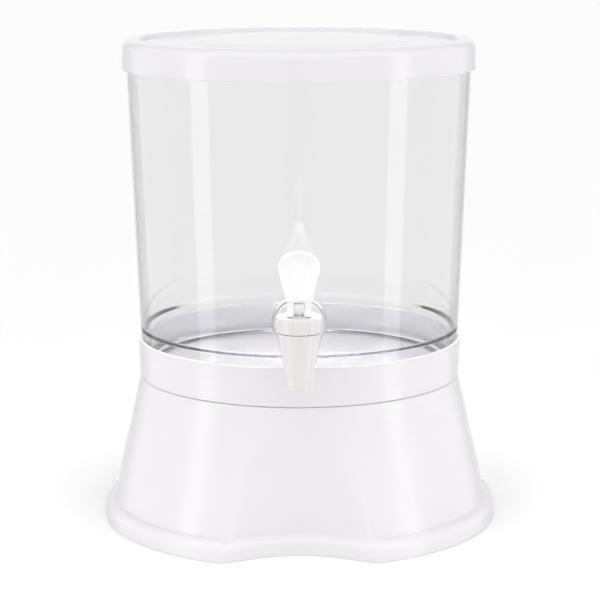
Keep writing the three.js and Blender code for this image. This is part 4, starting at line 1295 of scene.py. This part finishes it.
def extruded(name, side, width):
    """A plate with the given side view of (y, z) points, centred across."""
    total = len(side)
    vertices = [(x, y, z) for x in (-width / 2, width / 2) for y, z in side]
    faces = [list(range(total))[::-1], list(range(total, 2 * total))]
    faces += [(i, (i + 1) % total, (i + 1) % total + total, i + total) for i in range(total)]
    return cleaned(mesh_object(name, vertices, faces=faces))


def pin_solid(name, radius, width, edge=0.0):
    """A cylinder across the fork, on the lever's pivot."""
    corners = [(0, -width / 2, 0), (radius, -width / 2, edge), (radius, width / 2, edge),
               (0, width / 2, 0)]
    pin = solid(name, corners, sides=48, centre=ORIGIN, spacing=2 * MM)
    pin.data.transform(Matrix.Translation(PIVOT) @ Matrix.Rotation(math.pi / 2, 4, "Y"))
    return pin


class DISPENSER_OT_pin(Operator):
    """Makes the steel pin that the lever turns on"""
    bl_idname = "dispenser.pin"
    bl_label = "Lever pin"

    def execute(self, context):
        size, lever = context.scene.dispenser_valve, context.scene.dispenser_lever
        pin = smooth(pin_solid("lever_pin", size.pin_radius, lever.fork_width, 0.25 * MM))
        fitted(pin, "lever", "steel", "tap_lever_pin")
        return {"FINISHED"}


def cam_outline(size):
    """Side view of the fork about the pin: a cam foot that rises in step with the tilt, a round
    heel, and a root that carries the paddle."""
    growth = size.stem_lift / size.tilt
    steps = 12
    toe = []
    for k in range(steps + 1):
        turn = size.toe_turn * (steps - k) / steps
        lift = size.cam_radius + growth * turn
        toe.append((-lift * math.sin(turn) - growth * math.cos(turn),
                    -lift * math.cos(turn) + growth * math.sin(turn)))
    heel = arc((0, 0), size.cam_radius, -90, 0, 18)[1:]
    head = size.foot_rise + size.web_rise
    tip = (toe[0][0], toe[0][1] + size.toe)
    run, drop = -size.leg_front - tip[0], -tip[1]
    points, forward, upward = 8, 2.2, 1.6
    instep = [(-size.leg_front - run * (k / points) ** forward,
               -drop * (1 - (1 - k / points) ** upward)) for k in range(points)]
    return [(size.cam_radius, size.web_rise / 2), (size.back, head), (-size.leg_front, head),
            *instep, tip, *toe, *heel]


def paddle_ring(size, inset, foot, depth, foot_inset=None, per_side=28, per_top=40, per_foot=12):
    """Points round the paddle at some distance inside its edge, which may differ at its foot, and
    at some depth to the front. The depth may be a function of the height."""
    half_foot = size.foot_width / 2 - (inset if foot_inset is None else foot_inset)
    half_wide = size.width / 2 - inset
    crown = size.top_rise - size.shoulder_rise - inset
    rise = lambda part: foot + (size.shoulder_rise - foot) * part
    spread = half_foot + (half_wide - half_foot) * size.spread
    corners = [(half_foot, foot), (spread, rise(size.spread)), (half_wide, rise(size.fill)),
               (half_wide, size.shoulder_rise)]

    def along(t):
        weights = ((1 - t) ** 3, 3 * t * (1 - t) ** 2, 3 * t * t * (1 - t), t ** 3)
        return [sum(w * c[i] for w, c in zip(weights, corners)) for i in (0, 1)]

    right = [along(k / per_side) for k in range(per_side)]
    top = []
    for k in range(per_top + 1):
        around = math.pi * k / per_top
        top.append([half_wide * math.cos(around),
                    size.shoulder_rise + crown * math.sin(around)])
    left = [[-x, z] for x, z in right[::-1]]
    base = [[-half_foot + 2 * half_foot * k / per_foot, foot] for k in range(1, per_foot)]
    where = depth if callable(depth) else lambda up: depth
    return [PIVOT + Vector((x, -where(up), up)) for x, up in right + top + left + base]


def lofted(name, rings):
    """Skin over rings of equally many points, closed at both ends."""
    total = len(rings[0])
    vertices = [p for ring in rings for p in ring]
    faces = []
    for i in range(len(rings) - 1):
        for k in range(total):
            low, high = i * total, (i + 1) * total
            faces.append((low + k, low + (k + 1) % total, high + (k + 1) % total, high + k))
    faces.append(tuple(range(total))[::-1])
    faces.append(tuple(range(len(vertices) - total, len(vertices))))
    return cleaned(mesh_object(name, vertices, faces=faces))


class DISPENSER_OT_lever(Operator):
    """Makes the lever: a dished paddle on a fork with two cam feet"""
    bl_idname = "dispenser.lever"
    bl_label = "Lever"

    def execute(self, context):
        size, valve = context.scene.dispenser_lever, context.scene.dispenser_valve
        edge = size.edge
        inner = edge + 0.4 * MM
        rings = [paddle_ring(size, inner, size.foot_rise + inner, -size.back)]
        for out, back in arc((0, 0), edge, 90, 0, 7):
            inset = edge - out
            rings.append(paddle_ring(size, inset, size.foot_rise + inset, -size.back + edge - back))
        for out, ahead in arc((0, 0), edge, 0, 90, 7):
            inset = edge - out
            rings.append(paddle_ring(size, inset, size.foot_rise + inset, size.front - edge + ahead))
        reach = size.shoulder_rise - size.foot_rise
        fade = lambda up: min(1.0, max(0.08, (up - size.foot_rise) / reach))
        # Shares of the slope's width, each with the share of the dish's depth that it reaches
        dish_steps = ((0, 0), (0.04, 0.01), (0.1, 0.06), (0.5, 0.5), (0.9, 0.94), (0.96, 0.99),
                      (1, 1), (1.08, 1))
        for part, sunk in dish_steps:
            rings.append(paddle_ring(
                size, size.rim + size.slope * part, size.foot_rise + edge + 0.4 * MM * part,
                lambda up, sunk=sunk: size.front - size.dish * sunk * fade(up),
                size.rim + size.foot_slope * part))
        lever = lofted("lever", rings)
        fork = extruded("fork", cam_outline(size), size.fork_width)
        fork.data.transform(Matrix.Translation(PIVOT))
        bevelled(fork, 0.5 * MM, sharpest=40)
        slot_width = valve.tongue_width + 2 * FIT_GAP
        low = -size.cam_radius - size.stem_lift - 2 * MM
        reach = 14 * MM
        slot = extruded("slot", [(-reach, low), (reach, low), (reach, size.web_rise),
                                 (-reach, size.web_rise)], slot_width)
        slot.data.transform(Matrix.Translation(PIVOT))
        hole = pin_solid("pin_hole", valve.pin_radius + FIT_GAP, size.fork_width + 4 * MM)
        combined(lever, "UNION", fork)
        combined(lever, "DIFFERENCE", slot)
        combined(lever, "DIFFERENCE", hole)
        smooth(lever, 28)
        fitted(lever, "lever", "lever_white", "tap_lever")
        return {"FINISHED"}


# Studio

# Brightness of the walls by the angle round from the camera's side, the same on both sides: white
# walls with darker gaps and an upright strip light on each side
WALLS = ((0, 0.52), (8, 0.52), (10, 0.84), (32, 0.84), (34, 0.9), (61, 0.9), (63, 2.8), (75, 2.8),
         (77, 0.95), (99, 0.95), (101, 1.15), (134, 1.15), (136, 0.62), (158, 0.62), (162, 0.97),
         (180, 0.97))
# Where one brightness changes to the next: from the ceiling's front to its back, from the walls to
# the ceiling, and from the ceiling to right overhead
CEILING_TURN, CEILING_RISE, ZENITH_RISE = (0.45, 0.55), (0.4, 0.7), (0.7, 1.0)


def white_room(look):
    """Surroundings of white walls, which differ by direction alone, under a bright ceiling."""
    world = bpy.data.worlds.new("white_room")
    world.use_nodes = True
    tree = world.node_tree
    towards = tree.nodes.new("ShaderNodeTexCoord").outputs["Generated"]
    split = add_node(tree, "ShaderNodeSeparateXYZ", {"Vector": towards})
    across, ahead, up = (Field(tree, split.outputs[axis]) for axis in "XYZ")
    flat = (across * across + ahead * ahead).math("SQRT").math("MAXIMUM", 0.001)
    around = (-ahead / flat).math("ARCCOSINE") / math.pi
    brightest = max(value for _, value in WALLS)
    walls = add_node(tree, "ShaderNodeValToRGB", {"Fac": around})
    stops = walls.color_ramp.elements
    stops.remove(stops[1])
    for degrees, value in WALLS:
        stop = stops.new(degrees / 180) if degrees else stops[0]
        stop.color = (*(value / brightest,) * 3, 1)

    def blend(value, limits, below, above):
        node = add_node(tree, "ShaderNodeMapRange",
                        {"Value": value, "From Min": limits[0], "From Max": limits[1]},
                        interpolation_type="SMOOTHSTEP")
        share_above = Field(tree, node.outputs["Result"])
        return share_above * above + (share_above * -1 + 1) * below

    ceiling = blend(around, CEILING_TURN, look.ceiling_front, look.ceiling_back)
    grey = blend(up, CEILING_RISE, Field(tree, walls.outputs["Color"]) * brightest, ceiling)
    grey = blend(up, ZENITH_RISE, grey, look.zenith)
    sky = tree.nodes["Background"]
    tree.links.new((grey * look.sky).socket, sky.inputs["Color"])
    return world


def lid_glow(look):
    """Soft light inside the tank, which stands for the light that falls in through the pale lid."""
    light = bpy.data.lights.new("lid_glow", "AREA")
    light.shape = "RECTANGLE"
    light.size, light.size_y = look.glow_width, look.glow_depth
    light.energy = look.lid_glow
    lamp = bpy.data.objects.new("lid_glow", light)
    lamp.location = (0, VESSEL_AXIS.y - look.glow_front, TANK_HIGH.z - look.glow_drop)
    lamp.rotation_euler = (look.glow_tilt, 0, 0)
    lamp.visible_camera = lamp.visible_glossy = False
    return lamp


class DISPENSER_OT_studio(Operator):
    """Sets up the floor, the white surroundings, the light through the lid and the camera"""
    bl_idname = "dispenser.studio"
    bl_label = "Studio"

    def execute(self, context):
        look = context.scene.dispenser_studio
        context.scene.world = white_room(look)
        reach = 30
        floor = mesh_object("floor", [(-reach, -reach, 0), (reach, -reach, 0), (reach, reach, 0),
                                      (-reach, reach, 0)], faces=[(0, 1, 2, 3)])
        paint = bpy.data.materials.new("floor_paint")
        paint.use_nodes = True
        shader = paint.node_tree.nodes["Principled BSDF"]
        shader.inputs["Base Color"].default_value = (look.floor, look.floor, look.floor, 1)
        shader.inputs["Roughness"].default_value = 0.9
        shader.inputs["Specular IOR Level"].default_value = 0.1
        floor.data.materials.append(paint)
        floor.visible_glossy = False
        context.scene.collection.objects.link(lid_glow(look))
        camera = bpy.data.cameras.new("photo_camera")
        camera.lens = look.lens
        camera.sensor_width = 36
        holder = bpy.data.objects.new("photo_camera", camera)
        context.scene.collection.objects.link(holder)
        holder.location = (look.camera_side, VESSEL_AXIS.y - look.camera_distance,
                           look.camera_height)
        holder.rotation_euler = (look.camera_pitch, look.camera_roll, 0)
        context.scene.camera = holder
        context.scene.view_settings.view_transform = "Standard"
        return {"FINISHED"}


class DISPENSER_OT_trees(Operator):
    """Builds the shared node trees and materials"""
    bl_idname = "dispenser.trees"
    bl_label = "Node trees and finishes"

    def execute(self, context):
        turned_tree("turned")
        turned_tree("turned_with_scoop", [(label, "Float") for label in (
            "Scoop Centre", "Scoop Radius", "Scoop Lean", "Scoop Growth", "Scoop Softness",
            "Foot Radius", "Foot Scoop Centre", "Foot Scoop Radius", "Foot Softness", "Fillet",
        )], scoop_rule)
        turned_tree("turned_with_thread", (("Pitch", "Float"),), thread_rule)
        turned_tree("turned_with_flats", (("Half Width", "Float"), ("Softness", "Float")),
                    flats_rule)
        gusset_tree()
        groove_tree()
        spring_tree()
        skin_group()
        make_finishes(context.scene.dispenser_finishes)
        return {"FINISHED"}


class DISPENSER_PT_panel(Panel):
    """Lists the pieces of the dispenser"""
    bl_label = "Drink dispenser"
    bl_idname = "DISPENSER_PT_panel"
    bl_space_type = "VIEW_3D"
    bl_region_type = "UI"
    bl_category = "Dispenser"

    def draw(self, context):
        for step in STEPS:
            self.layout.operator(step.bl_idname)


STEPS = (
    DISPENSER_OT_trees, DISPENSER_OT_skirt, DISPENSER_OT_gussets, DISPENSER_OT_collar,
    DISPENSER_OT_tank, DISPENSER_OT_lid, DISPENSER_OT_washers, DISPENSER_OT_nut,
    DISPENSER_OT_tap_body, DISPENSER_OT_bonnet, DISPENSER_OT_stem, DISPENSER_OT_spring,
    DISPENSER_OT_pin, DISPENSER_OT_lever, DISPENSER_OT_studio,
)
SETTINGS = {
    "dispenser_stand": StandSizes, "dispenser_tank": TankSizes, "dispenser_lid": LidSizes,
    "dispenser_tap": TapSizes, "dispenser_valve": ValveSizes, "dispenser_lever": LeverSizes,
    "dispenser_finishes": Finishes, "dispenser_studio": StudioSettings,
}


def register():
    for kind in (*SETTINGS.values(), *STEPS, DISPENSER_PT_panel):
        bpy.utils.register_class(kind)
    for name, kind in SETTINGS.items():
        setattr(bpy.types.Scene, name, PointerProperty(type=kind))


def unregister():
    for name in SETTINGS:
        delattr(bpy.types.Scene, name)
    for kind in (DISPENSER_PT_panel, *reversed(STEPS), *SETTINGS.values()):
        bpy.utils.unregister_class(kind)


def main():
    register()
    for step in STEPS:
        group, name = step.bl_idname.split(".")
        getattr(getattr(bpy.ops, group), name)()


if __name__ == "__main__":
    main()
